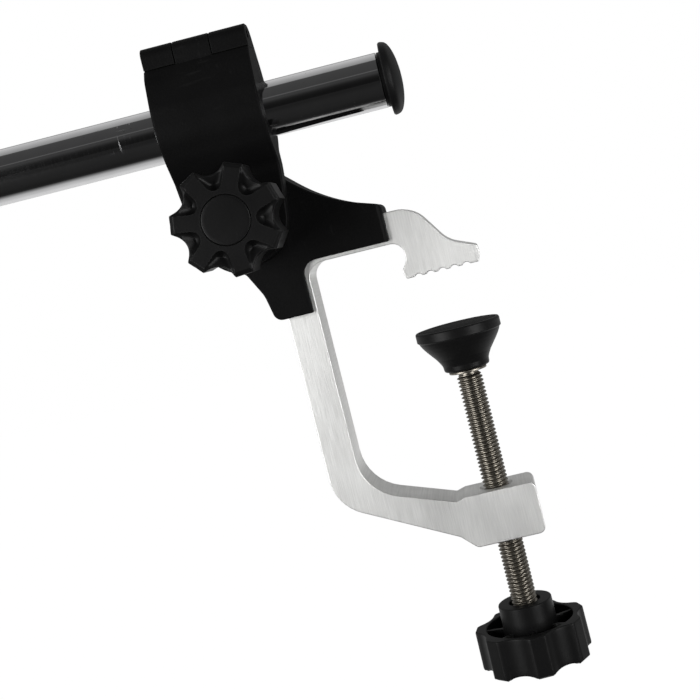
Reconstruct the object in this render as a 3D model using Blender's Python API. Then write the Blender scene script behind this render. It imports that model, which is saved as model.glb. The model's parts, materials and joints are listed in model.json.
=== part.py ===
"""Table clamp stand with a hinged tube holder, modelled as the separate pieces it is assembled from.

X runs along the jaw and the tube, Y from the front to the back, and Z up along the clamp screw.
The origin is on the screw's axis, in the plane of the jaw's tooth crests, half way through the frame's depth.
Lengths are in metres and angles in degrees unless a name says otherwise.
"""
import math

import bmesh
import bpy
from mathutils import Vector

GAP = 0.0003                    # air between pieces that touch on the real object
ARC_STEP = 12.0                 # degrees of arc per flat on rounded outlines
ROUND_SIDES = 32                # flats round a large turned piece
SMALL_SIDES = 24                # flats round a small turned piece
SMOOTH_BELOW = 38.0             # edges sharper than this stay crisp
PAST = 0.003                    # how far a cutting tool reaches past the piece it cuts
FAR_BACK, FAR_FRONT = 0.020, -0.050     # y planes behind and in front of every piece that is cut along Y

# Clamp frame: a C cut from extruded bar
FRAME_DEPTH = 0.020
ARM_OUTER_X = -0.0603
ARM_INNER_X = -0.0487
BEAM_TOP_Z = 0.0258
BEAM_UNDER_Z = 0.0139
FRAME_CORNER_RADIUS = 0.010
JAW_TIP_X = 0.0150
JAW_HEEL_X = -0.0136
TOOTH_PITCH = 0.00456
TOOTH_LAND = 0.0016
TOOTH_DEPTH = 0.0008
TOOTH_COUNT = 5
BOSS_LEFT_X = -0.0118
BOSS_RIGHT_X = 0.0145
BOSS_TOP_Z = -0.0846
BOSS_BOTTOM_Z = -0.1043
SCREW_HOLE_RADIUS = 0.00525
THROAT_X = -0.0121
# corners (x, z, radius) of the C, from the jaw's heel round the inside, over the outside and back to the tip
FRAME_CORNERS = (
    (JAW_HEEL_X, 0.0, 0.0006),
    (JAW_HEEL_X - 0.0009, 0.0032, 0.0015),
    (THROAT_X, 0.0068, 0.0030),
    (THROAT_X, BEAM_UNDER_Z, 0.0046),
    (ARM_INNER_X, BEAM_UNDER_Z, 0.0060),
    (ARM_INNER_X, -0.0741, 0.0180),
    (-0.0156, -0.0856, 0.0012),
    (-0.0122, BOSS_TOP_Z, 0.0010),
    (BOSS_RIGHT_X, BOSS_TOP_Z, 0.0026),
    (BOSS_RIGHT_X, BOSS_BOTTOM_Z, 0.0026),
    (BOSS_LEFT_X, BOSS_BOTTOM_Z, 0.0028),
    (-0.0173, -0.0989, 0.0040),
    (ARM_OUTER_X, -0.0768, 0.0170),
    (ARM_OUTER_X, BEAM_TOP_Z, FRAME_CORNER_RADIUS),
    (-0.0058, BEAM_TOP_Z, 0.0116),
    (0.0044, 0.0105, 0.0120),
    (JAW_TIP_X, 0.0060, 0.0016),
)
JAW_TIP_ROUND = 0.0016

# Clamp screw, its ball end and the swivelling foot
SCREW_RADIUS = 0.00492
NECK_RADIUS = 0.0037
BALL_RADIUS = 0.0048
BALL_Z = -0.0310
THREAD_TOP_Z = -0.0408
SCREW_END_CHAMFER = 0.0008
NECK_STEP = 0.0006
SOCKET_FLAT = 0.985             # and the hollow for its seat at this share of the hollow's radius
BALL_FLAT = 0.92                # the ball stops at this share of its radius, leaving a small flat
FOOT_TOP_Z = -0.0214
FOOT_RADIUS = 0.0163
FOOT_RIM_HEIGHT = 0.0042
FOOT_BOTTOM_Z = -0.0385
FOOT_BOTTOM_RADIUS = 0.00875
PAD_RADIUS = 0.0146
PAD_THICKNESS = 0.0016
PAD_PROUD = 0.0002              # the pad stands this far above the foot's rim
PAD_EDGE = 0.0004
SEAT_RADIUS = 0.0066
PLATE_RADIUS = 0.00725
PLATE_HOLE_RADIUS = 0.0053
PLATE_THICKNESS = 0.0009
# the foot's cone (radius, z), from just above its bottom edge to just below its rim
FOOT_CONE = ((0.0090, -0.0360), (0.0102, -0.0338), (0.0120, -0.0313), (0.0140, -0.0287))
FOOT_EDGE = 0.0006
FOOT_MOUTH_RADIUS = 0.0058
# lowest and highest points of the seat's outside and inside, measured from the ball's centre
SEAT_OUTSIDE = (-0.0030, 0.0060)
SEAT_INSIDE = (-0.0015, 0.0046)
THRUST_WASHER_RADIUS = 0.0047
THRUST_WASHER_HEIGHTS = (-0.0056, -0.0048)      # from the ball's centre

# Star knobs
LOBES = 7
KNOB_HUB_RADIUS = 0.0105
KNOB_HUB_HEIGHT = 0.0082
KNOB_BODY_HEIGHT = 0.0160
KNOB_CAP_RADIUS = 0.00865
KNOB_CAP_THICKNESS = 0.0018
KNOB_CAP_EDGE = 0.0004
KNOB_WALL = 0.0016              # from the valleys to the ring-shaped hollow behind the body
KNOB_HOLLOW_DEPTH = 0.0085
KNOB_BORE_STEP = (0.0012, 0.0016)       # how much wider the hub's mouth is than the bolt, and how deep
LOBE_FLATS = 8
LOBE_BREADTH = 1.4              # above 1 the lobes grow broader than a plain squared cosine
INSERT_RADIUS = 0.0069
INSERT_HEIGHTS = (0.0100, 0.0200)
# the body's rim (height below its outer face, how far it is drawn in)
KNOB_RIM = ((0.0048, 0.0), (0.0017, 0.0008), (0.0004, 0.0018), (0.0, 0.0034))
KNOB_BACK_EDGE = 0.0007
LOWER_KNOB_TOP_Z = -0.1305
LOWER_KNOB_TIP_RADIUS = 0.0217
LOWER_KNOB_VALLEY_RADIUS = 0.0186
LOWER_KNOB_LOBE_ANGLE = -85.0
FRONT_KNOB_TIP_RADIUS = 0.0200
FRONT_KNOB_VALLEY_RADIUS = 0.0162
FRONT_KNOB_LOBE_ANGLE = 17.5

# Pivot of the tube holder, along Y
PIVOT_X = -0.0666
PIVOT_Z = 0.0357
PIVOT_BOLT_RADIUS = 0.0039
BOLT_HEAD_RADIUS = 0.0075
BOLT_HEAD_HEIGHT = 0.0053
BOLT_HEAD_CHAMFER = 0.0007
BOLT_END_Y = -0.0410
HEAD_POCKET_DEPTH = 0.0040
FRICTION_DISC_RADIUS = 0.0172
FRICTION_DISC_THICKNESS = 0.0012
WASHER_RADIUS = 0.0090
WASHER_THICKNESS = 0.0012

# Bracket: two plastic shells over the frame's upper corner
BRACKET_HALF_DEPTH = 0.0130
BRACKET_BOSS_RADIUS = 0.0203
BRACKET_END_X = -0.0163
SCREW_PLACES = ((-0.0310, 0.0304), (-0.0470, 0.0370), (-0.0638, 0.0098))
SHELL_SCREW_RADIUS = 0.00125
SHELL_SCREW_HEAD_RADIUS = 0.0021
SHELL_SCREW_HEAD_HEIGHT = 0.0016
SHELL_SCREW_TIP_Y = -0.0100
SHELL_SCREW_HEAD_WALL = 0.0009
SHELL_SCREW_HEAD_TOP = 0.6      # the head's flat top, as a share of its radius
TAIL_LEFT_X, TAIL_RIGHT_X, TAIL_BOTTOM_Z = -0.0643, -0.0501, -0.0038
BRACKET_UNDER_Z = 0.0152
# the bracket's corners (x, z, radius) before and after the round boss
BRACKET_SWEEP = (
    (BRACKET_END_X, BRACKET_UNDER_Z, 0.0008), (BRACKET_END_X, 0.0292, 0.0028), (-0.0366, 0.0357, 0.0640),
)
BRACKET_TAIL = (
    (-0.0664, 0.0065, 0.0120), (TAIL_LEFT_X, TAIL_BOTTOM_Z, 0.0034), (TAIL_RIGHT_X, TAIL_BOTTOM_Z, 0.0006),
    (TAIL_RIGHT_X, BRACKET_UNDER_Z, 0.0050),
)
POCKET_BOTTOM_Z = -0.020

# Tube and its end caps, along X
TUBE_RADIUS = 0.0100
TUBE_WALL = 0.0015
TUBE_Y = -0.0200
TUBE_Z = 0.0720
TUBE_RIGHT_X = -0.0045
TUBE_LENGTH = 0.2800
CAP_RADIUS = 0.01325
CAP_NECK_RADIUS = 0.0099
CAP_NECK_LENGTH = 0.0014
PLUG_LENGTH = 0.0090
PLUG_CHAMFER = 0.0006
# the cap's flange and dome (radius, height from the tube's end)
CAP_FACE = (
    (CAP_RADIUS - 0.0004, 0.0015), (CAP_RADIUS, 0.0021), (CAP_RADIUS - 0.0002, 0.0030), (0.0112, 0.0050),
    (0.0082, 0.0063), (0.0044, 0.0070), (0.0010, 0.0072),
)

# Tube holder: a fixed rear shell and a hinged front shell
HOLDER_LEFT_X = -0.0864
HOLDER_RIGHT_X = -0.0474
KNUCKLE_SPLIT_X = (-0.0746, -0.0609)
BELLY_RADIUS = 0.0140
FRONT_LUG_Y = -0.0229
HINGE_Y = -0.0228
HINGE_Z = 0.0995
KNUCKLE_RADIUS = 0.0039
HINGE_PIN_RADIUS = 0.0015
LUG_RADIUS = 0.0176
LUG_HOLE_PLAY = 0.0007
PIN_INSET = 0.0005
SHOULDER_Z = 0.0948             # top of the front shell, under the outer knuckles
WEB_BOTTOM_Z = 0.0930
TAPER_Z, TAPER_RADIUS = 0.0600, 0.0200  # where the straight sides start to draw in towards the lug
LUG_TOP_Z, PROFILE_BOTTOM_Z = 0.0560, 0.010
# upper corners (y, z, radius) of the two shells' side profiles
FRONT_CHEST = ((-0.0271, SHOULDER_Z, 0.0008), (-0.0318, 0.0905, 0.0040), (-0.0334, 0.0770, 0.0))
REAR_BACK = ((-0.0090, 0.0890, 0.0090), (-0.0145, HINGE_Z + KNUCKLE_RADIUS, 0.0060))

BLACK_PLASTIC = ("black_plastic", (0.018, 0.018, 0.019), 0.45, 0.0)
ALUMINIUM = ("aluminium", (0.80, 0.81, 0.80), 0.38, 1.0)
STEEL = ("stainless_steel", (0.55, 0.53, 0.50), 0.30, 1.0)
CHROME = ("chrome", (0.80, 0.80, 0.81), 0.08, 1.0)
BRASS = ("brass", (0.72, 0.55, 0.27), 0.35, 1.0)
RUBBER = ("rubber", (0.03, 0.03, 0.03), 0.80, 0.0)
FIBRE = ("grey_fibre", (0.20, 0.20, 0.20), 0.85, 0.0)


def clear_scene():
    for thing in list(bpy.data.objects):
        bpy.data.objects.remove(thing)


def finish_material(finish):
    name, colour, roughness, metallic = finish
    if name in bpy.data.materials:
        return bpy.data.materials[name]
    material = bpy.data.materials.new(name)
    material.use_nodes = True
    shader = material.node_tree.nodes["Principled BSDF"]
    shader.inputs["Base Color"].default_value = (*colour, 1.0)
    shader.inputs["Roughness"].default_value = roughness
    shader.inputs["Metallic"].default_value = metallic
    return material


# ---- outlines -------------------------------------------------------------------------------------

def arc(centre, radius, start, end):
    """Points on a circle from one angle to another, both included, a flat every ARC_STEP degrees."""
    steps = max(2, math.ceil(abs(end - start) / ARC_STEP))
    angles = [math.radians(start + (end - start) * k / steps) for k in range(steps + 1)]
    return [(centre[0] + radius * math.cos(a), centre[1] + radius * math.sin(a), 0.0) for a in angles]


def rounded(corners):
    """A closed outline from corners (a, b, radius); each corner with a radius becomes a tangent arc."""
    outline = []
    for index, (a, b, radius) in enumerate(corners):
        corner = Vector((a, b))
        if radius == 0.0:
            outline.append((a, b))
            continue
        back = (Vector(corners[index - 1][:2]) - corner).normalized()
        ahead = (Vector(corners[(index + 1) % len(corners)][:2]) - corner).normalized()
        half = back.angle(ahead) / 2
        centre = corner + (back + ahead).normalized() * radius / math.sin(half)
        start = corner + back * radius / math.tan(half) - centre
        end = corner + ahead * radius / math.tan(half) - centre
        first = math.atan2(start.y, start.x)
        sweep = (math.atan2(end.y, end.x) - first + math.pi) % math.tau - math.pi
        steps = max(2, math.ceil(abs(math.degrees(sweep)) / ARC_STEP))
        for k in range(steps + 1):
            angle = first + sweep * k / steps
            outline.append((centre.x + radius * math.cos(angle), centre.y + radius * math.sin(angle)))
    return outline


# ---- solids, each a bmesh in world coordinates -----------------------------------------------------

def skin_rings(rings, close_ends=True, wrap=False):
    """Join equal rings of points with quads; the ends are filled, or the last ring meets the first."""
    mesh = bmesh.new()
    loops = [[mesh.verts.new(point) for point in ring] for ring in rings]
    pairs = list(zip(loops, loops[1:]))
    if wrap:
        pairs.append((loops[-1], loops[0]))
    for lower, upper in pairs:
        count = len(lower)
        for k in range(count):
            mesh.faces.new((lower[k], lower[(k + 1) % count], upper[(k + 1) % count], upper[k]))
    if close_ends and not wrap:
        mesh.faces.new(list(reversed(loops[0])))
        mesh.faces.new(loops[-1])
    bmesh.ops.recalc_face_normals(mesh, faces=mesh.faces)
    return mesh


def prism(outline, axis, low, high):
    """Extrude an outline along one axis. The outline's pair is (y, z) for X, (x, z) for Y, (x, y) for Z."""
    place = {
        "X": lambda pair, depth: (depth, pair[0], pair[1]),
        "Y": lambda pair, depth: (pair[0], depth, pair[1]),
        "Z": lambda pair, depth: (pair[0], pair[1], depth),
    }[axis]
    return skin_rings([[place(pair, depth) for pair in outline] for depth in (low, high)])


def turned(profile, centre, direction, sides=ROUND_SIDES, ring_shaped=False):
    """Turn a profile of (radius, height) about a line from centre along direction X, Y, Z or their minus.

    A solid profile starts and ends at small end rings that are filled flat; a ring-shaped one is a loop.
    """
    along = {"X": (1, 0, 0), "Y": (0, 1, 0), "Z": (0, 0, 1)}[direction[-1]]
    sign = -1.0 if direction.startswith("-") else 1.0
    axis = Vector(along) * sign
    side = Vector((0, 0, 1)) if direction[-1] != "Z" else Vector((1, 0, 0))
    other = axis.cross(side)
    rings = []
    for radius, height in profile:
        base = Vector(centre) + axis * height
        angles = [math.tau * k / sides for k in range(sides)]
        rings.append([base + radius * (math.cos(a) * side + math.sin(a) * other) for a in angles])
    return skin_rings(rings, wrap=ring_shaped)


def cylinder(radius, low, high, centre, direction, sides=ROUND_SIDES):
    return turned([(radius, low), (radius, high)], centre, direction, sides)


def ring(inner, outer, low, high, centre, direction, sides=ROUND_SIDES):
    loop = [(inner, low), (outer, low), (outer, high), (inner, high)]
    return turned(loop, centre, direction, sides, ring_shaped=True)


def sphere_profile(radius, centre_height, low, high, steps):
    """Profile points on a sphere between two heights measured from the sphere's centre."""
    first, last = math.asin(low / radius), math.asin(high / radius)
    angles = [first + (last - first) * k / steps for k in range(steps + 1)]
    return [(radius * math.cos(a), centre_height + radius * math.sin(a)) for a in angles]


# ---- objects ---------------------------------------------------------------------------------------

def add_part(name, mesh_data, finish, origin=(0.0, 0.0, 0.0)):
    """Make an object from a bmesh in world coordinates, with its own origin at the given point."""
    bmesh.ops.translate(mesh_data, verts=mesh_data.verts, vec=-Vector(origin))
    mesh = bpy.data.meshes.new(name)
    mesh_data.to_mesh(mesh)
    mesh_data.free()
    mesh.shade_smooth()
    mesh.set_sharp_from_angle(angle=math.radians(SMOOTH_BELOW))
    part = bpy.data.objects.new(name, mesh)
    part.location = origin
    part.data.materials.append(finish_material(finish))
    bpy.context.scene.collection.objects.link(part)
    return part


def shape(part, operation, tool_mesh):
    """Add a Boolean to a part, with its tool as a hidden wire object."""
    tool = add_part(f"{part.name}_tool_{len(part.modifiers)}", tool_mesh, BLACK_PLASTIC)
    tool.hide_render = True
    tool.display_type = "WIRE"
    step = part.modifiers.new(f"{operation.lower()}_{len(part.modifiers)}", "BOOLEAN")
    step.operation = operation
    step.object = tool
    step.solver = "EXACT"


# ---- clamp frame -----------------------------------------------------------------------------------

def frame_corners():
    """Corners of the C, from the jaw's tip along the teeth, round the inside and back over the outside."""
    groove = (TOOTH_PITCH - TOOTH_LAND) / 2
    bulge = (groove ** 2 + TOOTH_DEPTH ** 2) / (2 * TOOTH_DEPTH)
    reach = math.degrees(math.asin(groove / bulge))
    corners = [(JAW_TIP_X, 0.0, JAW_TIP_ROUND)]
    for tooth in range(TOOTH_COUNT - 1, -1, -1):
        middle = (tooth - TOOTH_COUNT // 2) * TOOTH_PITCH
        centre = (middle, TOOTH_DEPTH - bulge)
        corners += arc(centre, bulge, 90 - reach, 90 + reach)
    return corners + list(FRAME_CORNERS)


def make_clamp_frame():
    half = FRAME_DEPTH / 2
    frame = add_part("clamp_frame", prism(rounded(frame_corners()), "Y", -half, half), ALUMINIUM)
    hole = cylinder(SCREW_HOLE_RADIUS, BOSS_BOTTOM_Z - PAST, BOSS_TOP_Z + PAST, (0, 0, 0), "Z", SMALL_SIDES)
    shape(frame, "DIFFERENCE", hole)


# ---- bracket ---------------------------------------------------------------------------------------

def bracket_outline():
    """From the lower right corner up the end, over the sweep to the pivot boss, and down to the tail."""
    pivot = (PIVOT_X, PIVOT_Z)
    return rounded([
        *BRACKET_SWEEP,
        *arc(pivot, BRACKET_BOSS_RADIUS + 2 * GAP, 47, 60),
        *arc(pivot, BRACKET_BOSS_RADIUS, 72, 256),
        *BRACKET_TAIL,
    ])


def bracket_shell(name, near, far):
    """One shell: the outline extruded, less a pocket for the aluminium frame's outer corner."""
    shell = add_part(name, prism(bracket_outline(), "Y", near, far), BLACK_PLASTIC)
    pocket = rounded([
        (0.0, POCKET_BOTTOM_Z, 0.0),
        (0.0, BEAM_TOP_Z + GAP, 0.0),
        (ARM_OUTER_X - GAP, BEAM_TOP_Z + GAP, FRAME_CORNER_RADIUS + GAP),
        (ARM_OUTER_X - GAP, POCKET_BOTTOM_Z, 0.0),
    ])
    reach = FRAME_DEPTH / 2 + GAP
    shape(shell, "DIFFERENCE", prism(pocket, "Y", -reach, reach))
    pivot = (PIVOT_X, 0.0, PIVOT_Z)
    bolt_hole = cylinder(PIVOT_BOLT_RADIUS + GAP, -FAR_BACK, FAR_BACK, pivot, "Y", SMALL_SIDES)
    shape(shell, "DIFFERENCE", bolt_hole)
    return shell


def make_bracket():
    front = bracket_shell("bracket_front_shell", -BRACKET_HALF_DEPTH, -GAP / 2)
    rear = bracket_shell("bracket_rear_shell", GAP / 2, BRACKET_HALF_DEPTH)
    pivot = (PIVOT_X, 0.0, PIVOT_Z)
    head_floor = BRACKET_HALF_DEPTH - HEAD_POCKET_DEPTH
    head_pocket = cylinder(BOLT_HEAD_RADIUS + GAP, head_floor, FAR_BACK, pivot, "Y", 6)
    shape(rear, "DIFFERENCE", head_pocket)
    under_head = BRACKET_HALF_DEPTH - SHELL_SCREW_HEAD_HEIGHT
    tip = SHELL_SCREW_TIP_Y
    for number, (x, z) in enumerate(SCREW_PLACES, start=1):
        place = (x, 0.0, z)
        hole = [(SHELL_SCREW_RADIUS + GAP, tip - GAP), (SHELL_SCREW_RADIUS + GAP, under_head - GAP),
                (SHELL_SCREW_HEAD_RADIUS + GAP, under_head - GAP), (SHELL_SCREW_HEAD_RADIUS + GAP, FAR_BACK)]
        shape(rear, "DIFFERENCE", turned(hole, place, "Y", SMALL_SIDES))
        shape(front, "DIFFERENCE", turned(hole, place, "Y", SMALL_SIDES))
        screw = [(SHELL_SCREW_RADIUS, tip), (SHELL_SCREW_RADIUS, under_head),
                 (SHELL_SCREW_HEAD_RADIUS, under_head),
                 (SHELL_SCREW_HEAD_RADIUS, under_head + SHELL_SCREW_HEAD_WALL),
                 (SHELL_SCREW_HEAD_RADIUS * SHELL_SCREW_HEAD_TOP, BRACKET_HALF_DEPTH)]
        add_part(f"bracket_screw_{number}", turned(screw, place, "Y", SMALL_SIDES), STEEL)


# ---- pivot stack: bolt, friction disc, washer ------------------------------------------------------

def make_pivot_stack():
    pivot = (PIVOT_X, 0.0, PIVOT_Z)
    head_floor = BRACKET_HALF_DEPTH - HEAD_POCKET_DEPTH + GAP
    head_top = head_floor + BOLT_HEAD_HEIGHT
    shank_top = (head_floor + head_top) / 2
    shank = cylinder(PIVOT_BOLT_RADIUS, BOLT_END_Y, shank_top, pivot, "Y", SMALL_SIDES)
    bolt = add_part("pivot_bolt", shank, STEEL)
    head = turned([(BOLT_HEAD_RADIUS, head_floor), (BOLT_HEAD_RADIUS, head_top - BOLT_HEAD_CHAMFER),
                   (BOLT_HEAD_RADIUS - BOLT_HEAD_CHAMFER, head_top)], pivot, "Y", 6)
    shape(bolt, "UNION", head)
    disc_back = -BRACKET_HALF_DEPTH - GAP
    disc_front = disc_back - FRICTION_DISC_THICKNESS
    hole = PIVOT_BOLT_RADIUS + GAP
    add_part("friction_disc", ring(hole, FRICTION_DISC_RADIUS, disc_front, disc_back, pivot, "Y"), FIBRE)
    washer_back = FRONT_LUG_Y - GAP
    washer_front = washer_back - WASHER_THICKNESS
    washer = ring(hole, WASHER_RADIUS, washer_front, washer_back, pivot, "Y", SMALL_SIDES)
    add_part("front_knob_washer", washer, STEEL, pivot)


# ---- tube holder -----------------------------------------------------------------------------------

def lug_outline():
    """The holder seen from the front: straight sides that taper a little to a round lug about the pivot."""
    side = (HOLDER_RIGHT_X - HOLDER_LEFT_X) / 2
    middle = (HOLDER_RIGHT_X + HOLDER_LEFT_X) / 2
    top = HINGE_Z + KNUCKLE_RADIUS + PAST
    return rounded([
        (middle + side, top, 0.0),
        (middle - side, top, 0.0),
        (middle - side, TAPER_Z, TAPER_RADIUS),
        *arc((PIVOT_X, PIVOT_Z), LUG_RADIUS, 188, 352),
        (middle + side, TAPER_Z, TAPER_RADIUS),
    ])


def holder_shell(name, profile, origin):
    """A shell: its side profile (y, z) extruded over the holder's width, trimmed to the lug's outline."""
    shell = add_part(name, prism(profile, "X", HOLDER_LEFT_X, HOLDER_RIGHT_X), BLACK_PLASTIC, origin)
    shape(shell, "INTERSECT", prism(lug_outline(), "Y", FAR_FRONT, FAR_BACK))
    return shell


def bore_holder(shell):
    """The tube's bore, the pivot bolt's hole and the hinge pin's hole."""
    axis = (0.0, TUBE_Y, TUBE_Z)
    pivot = (PIVOT_X, 0.0, PIVOT_Z)
    hinge = (0.0, HINGE_Y, HINGE_Z)
    low, high = HOLDER_LEFT_X - PAST, HOLDER_RIGHT_X + PAST
    shape(shell, "DIFFERENCE", cylinder(TUBE_RADIUS + GAP / 2, low, high, axis, "X", 48))
    bolt_hole = cylinder(PIVOT_BOLT_RADIUS + LUG_HOLE_PLAY, FAR_FRONT, FAR_BACK, pivot, "Y", SMALL_SIDES)
    shape(shell, "DIFFERENCE", bolt_hole)
    shape(shell, "DIFFERENCE", cylinder(HINGE_PIN_RADIUS + GAP, low, high, hinge, "X", 16))


def make_holder():
    hinge = (0.0, HINGE_Y, HINGE_Z)
    split = TUBE_Y
    tube = (TUBE_Y, TUBE_Z)
    front_profile = rounded([
        (split - GAP, PROFILE_BOTTOM_Z, 0.0),
        (split - GAP, SHOULDER_Z, 0.0),
        *FRONT_CHEST,
        *arc(tube, BELLY_RADIUS, 167, 246),
        (FRONT_LUG_Y, LUG_TOP_Z, 0.0),
        (FRONT_LUG_Y, PROFILE_BOTTOM_Z, 0.0),
    ])
    front = holder_shell("holder_front_shell", front_profile, (PIVOT_X, HINGE_Y, HINGE_Z))
    left, right = KNUCKLE_SPLIT_X
    web = [(HINGE_Y - KNUCKLE_RADIUS, HINGE_Z), (HINGE_Y - KNUCKLE_RADIUS, WEB_BOTTOM_Z),
           (split - GAP, WEB_BOTTOM_Z), (split - GAP, HINGE_Z)]
    shape(front, "UNION", prism(web, "X", left + GAP / 2, right - GAP / 2))
    shape(front, "UNION", cylinder(KNUCKLE_RADIUS, left + GAP / 2, right - GAP / 2, hinge, "X", 28))
    bore_holder(front)

    rear_lug_y = -BRACKET_HALF_DEPTH - 2 * GAP - FRICTION_DISC_THICKNESS
    rear_profile = rounded([
        (split, PROFILE_BOTTOM_Z, 0.0),
        (rear_lug_y, PROFILE_BOTTOM_Z, 0.0),
        (rear_lug_y, LUG_TOP_Z, 0.0),
        *arc(tube, BELLY_RADIUS, -66, 13),
        *REAR_BACK,
        (split, HINGE_Z + KNUCKLE_RADIUS, 0.0),
    ])
    rear = holder_shell("holder_rear_shell", rear_profile, (PIVOT_X, 0.0, PIVOT_Z))
    for low, high in ((HOLDER_LEFT_X, left - GAP / 2), (right + GAP / 2, HOLDER_RIGHT_X)):
        knuckle_top, into_shell = HINGE_Z + KNUCKLE_RADIUS, split + PAST
        cap = [(HINGE_Y, HINGE_Z), (HINGE_Y, knuckle_top), (into_shell, knuckle_top), (into_shell, HINGE_Z)]
        shape(rear, "UNION", prism(cap, "X", low, high))
        shape(rear, "UNION", cylinder(KNUCKLE_RADIUS, low, high, hinge, "X", 28))
    room = cylinder(KNUCKLE_RADIUS + GAP, left - GAP / 2, right + GAP / 2, hinge, "X", 28)
    shape(rear, "DIFFERENCE", room)
    bore_holder(rear)
    pin = cylinder(HINGE_PIN_RADIUS, HOLDER_LEFT_X + PIN_INSET, HOLDER_RIGHT_X - PIN_INSET, hinge, "X", 16)
    add_part("hinge_pin", pin, STEEL, (PIVOT_X, HINGE_Y, HINGE_Z))


# ---- star knobs ------------------------------------------------------------------------------------

def star_radius(angle, tip_radius, valley_radius):
    """Lobes with broad flat tips: the radius falls from a tip to the valley as a squared cosine."""
    phase = LOBES * angle / 2
    fall = math.sin(phase) ** 2
    return tip_radius - (tip_radius - valley_radius) * fall ** LOBE_BREADTH


def star_knob(name, tip_radius, valley_radius, lobe_angle, mate, direction, bolt_radius):
    """A star knob from its hub's mating face outwards, hollow behind, bored for its insert and its cap."""
    count = LOBES * LOBE_FLATS
    body_top = KNOB_HUB_HEIGHT + KNOB_BODY_HEIGHT
    levels = [(KNOB_HUB_HEIGHT, KNOB_BACK_EDGE), (KNOB_HUB_HEIGHT + KNOB_BACK_EDGE, 0.0)]
    levels += [(body_top - below, inset) for below, inset in KNOB_RIM]
    axis = {"-Y": Vector((0, -1, 0)), "-Z": Vector((0, 0, -1))}[direction]
    side = Vector((1, 0, 0))
    other = Vector((0, 0, 1)) if direction == "-Y" else Vector((0, 1, 0))
    rings = []
    for height, inset in levels:
        base = Vector(mate) + axis * height
        loop = []
        for k in range(count):
            turn = math.tau * k / count
            radius = star_radius(turn, tip_radius, valley_radius) - inset
            angle = turn + math.radians(lobe_angle)
            loop.append(base + radius * (math.cos(angle) * side + math.sin(angle) * other))
        rings.append(loop)
    knob = add_part(name, skin_rings(rings), BLACK_PLASTIC, mate)
    cavity = ring(KNOB_HUB_RADIUS + GAP / 2, valley_radius - KNOB_WALL, KNOB_HUB_HEIGHT - PAST,
                  KNOB_HUB_HEIGHT + KNOB_HOLLOW_DEPTH, mate, direction)
    shape(knob, "DIFFERENCE", cavity)
    hub_inner_end = KNOB_HUB_HEIGHT + KNOB_HOLLOW_DEPTH + GAP
    shape(knob, "UNION", cylinder(KNOB_HUB_RADIUS, 0.0, hub_inner_end, mate, direction))
    insert_low, insert_high = INSERT_HEIGHTS
    cap_floor = body_top - KNOB_CAP_THICKNESS
    wider, deep = KNOB_BORE_STEP
    bore = [(bolt_radius + wider, -PAST), (bolt_radius + wider, deep), (bolt_radius + GAP, deep),
            (bolt_radius + GAP, insert_low - GAP), (INSERT_RADIUS + GAP, insert_low - GAP),
            (INSERT_RADIUS + GAP, cap_floor), (KNOB_CAP_RADIUS + GAP / 2, cap_floor),
            (KNOB_CAP_RADIUS + GAP / 2, body_top + PAST)]
    shape(knob, "DIFFERENCE", turned(bore, mate, direction, 32))
    insert = ring(bolt_radius + GAP, INSERT_RADIUS, insert_low, insert_high, mate, direction, SMALL_SIDES)
    add_part(f"{name}_insert", insert, BRASS, mate)
    cap = turned([(KNOB_CAP_RADIUS, cap_floor + GAP), (KNOB_CAP_RADIUS, body_top - KNOB_CAP_EDGE / 2),
                  (KNOB_CAP_RADIUS - KNOB_CAP_EDGE, body_top)], mate, direction, 32)
    add_part(f"{name}_cap", cap, BLACK_PLASTIC, mate)


def make_knobs():
    front_mate = (PIVOT_X, FRONT_LUG_Y - 2 * GAP - WASHER_THICKNESS, PIVOT_Z)
    star_knob("front_knob", FRONT_KNOB_TIP_RADIUS, FRONT_KNOB_VALLEY_RADIUS, FRONT_KNOB_LOBE_ANGLE,
              front_mate, "-Y", PIVOT_BOLT_RADIUS)
    lower_mate = (0.0, 0.0, LOWER_KNOB_TOP_Z)
    star_knob("lower_knob", LOWER_KNOB_TIP_RADIUS, LOWER_KNOB_VALLEY_RADIUS, LOWER_KNOB_LOBE_ANGLE,
              lower_mate, "-Z", SCREW_RADIUS)


# ---- clamp screw and foot --------------------------------------------------------------------------

def make_screw():
    """One turned piece: threaded shank, neck and ball end."""
    end = LOWER_KNOB_TOP_Z - INSERT_HEIGHTS[1]
    neck_meets_ball = -math.sqrt(BALL_RADIUS ** 2 - NECK_RADIUS ** 2)
    profile = [(SCREW_RADIUS - SCREW_END_CHAMFER, end), (SCREW_RADIUS, end + SCREW_END_CHAMFER),
               (SCREW_RADIUS, THREAD_TOP_Z - NECK_STEP), (NECK_RADIUS, THREAD_TOP_Z)]
    profile += sphere_profile(BALL_RADIUS, BALL_Z, neck_meets_ball, BALL_RADIUS * BALL_FLAT, 6)
    add_part("spindle", turned(profile, (0, 0, 0), "Z", 32), STEEL)


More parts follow.
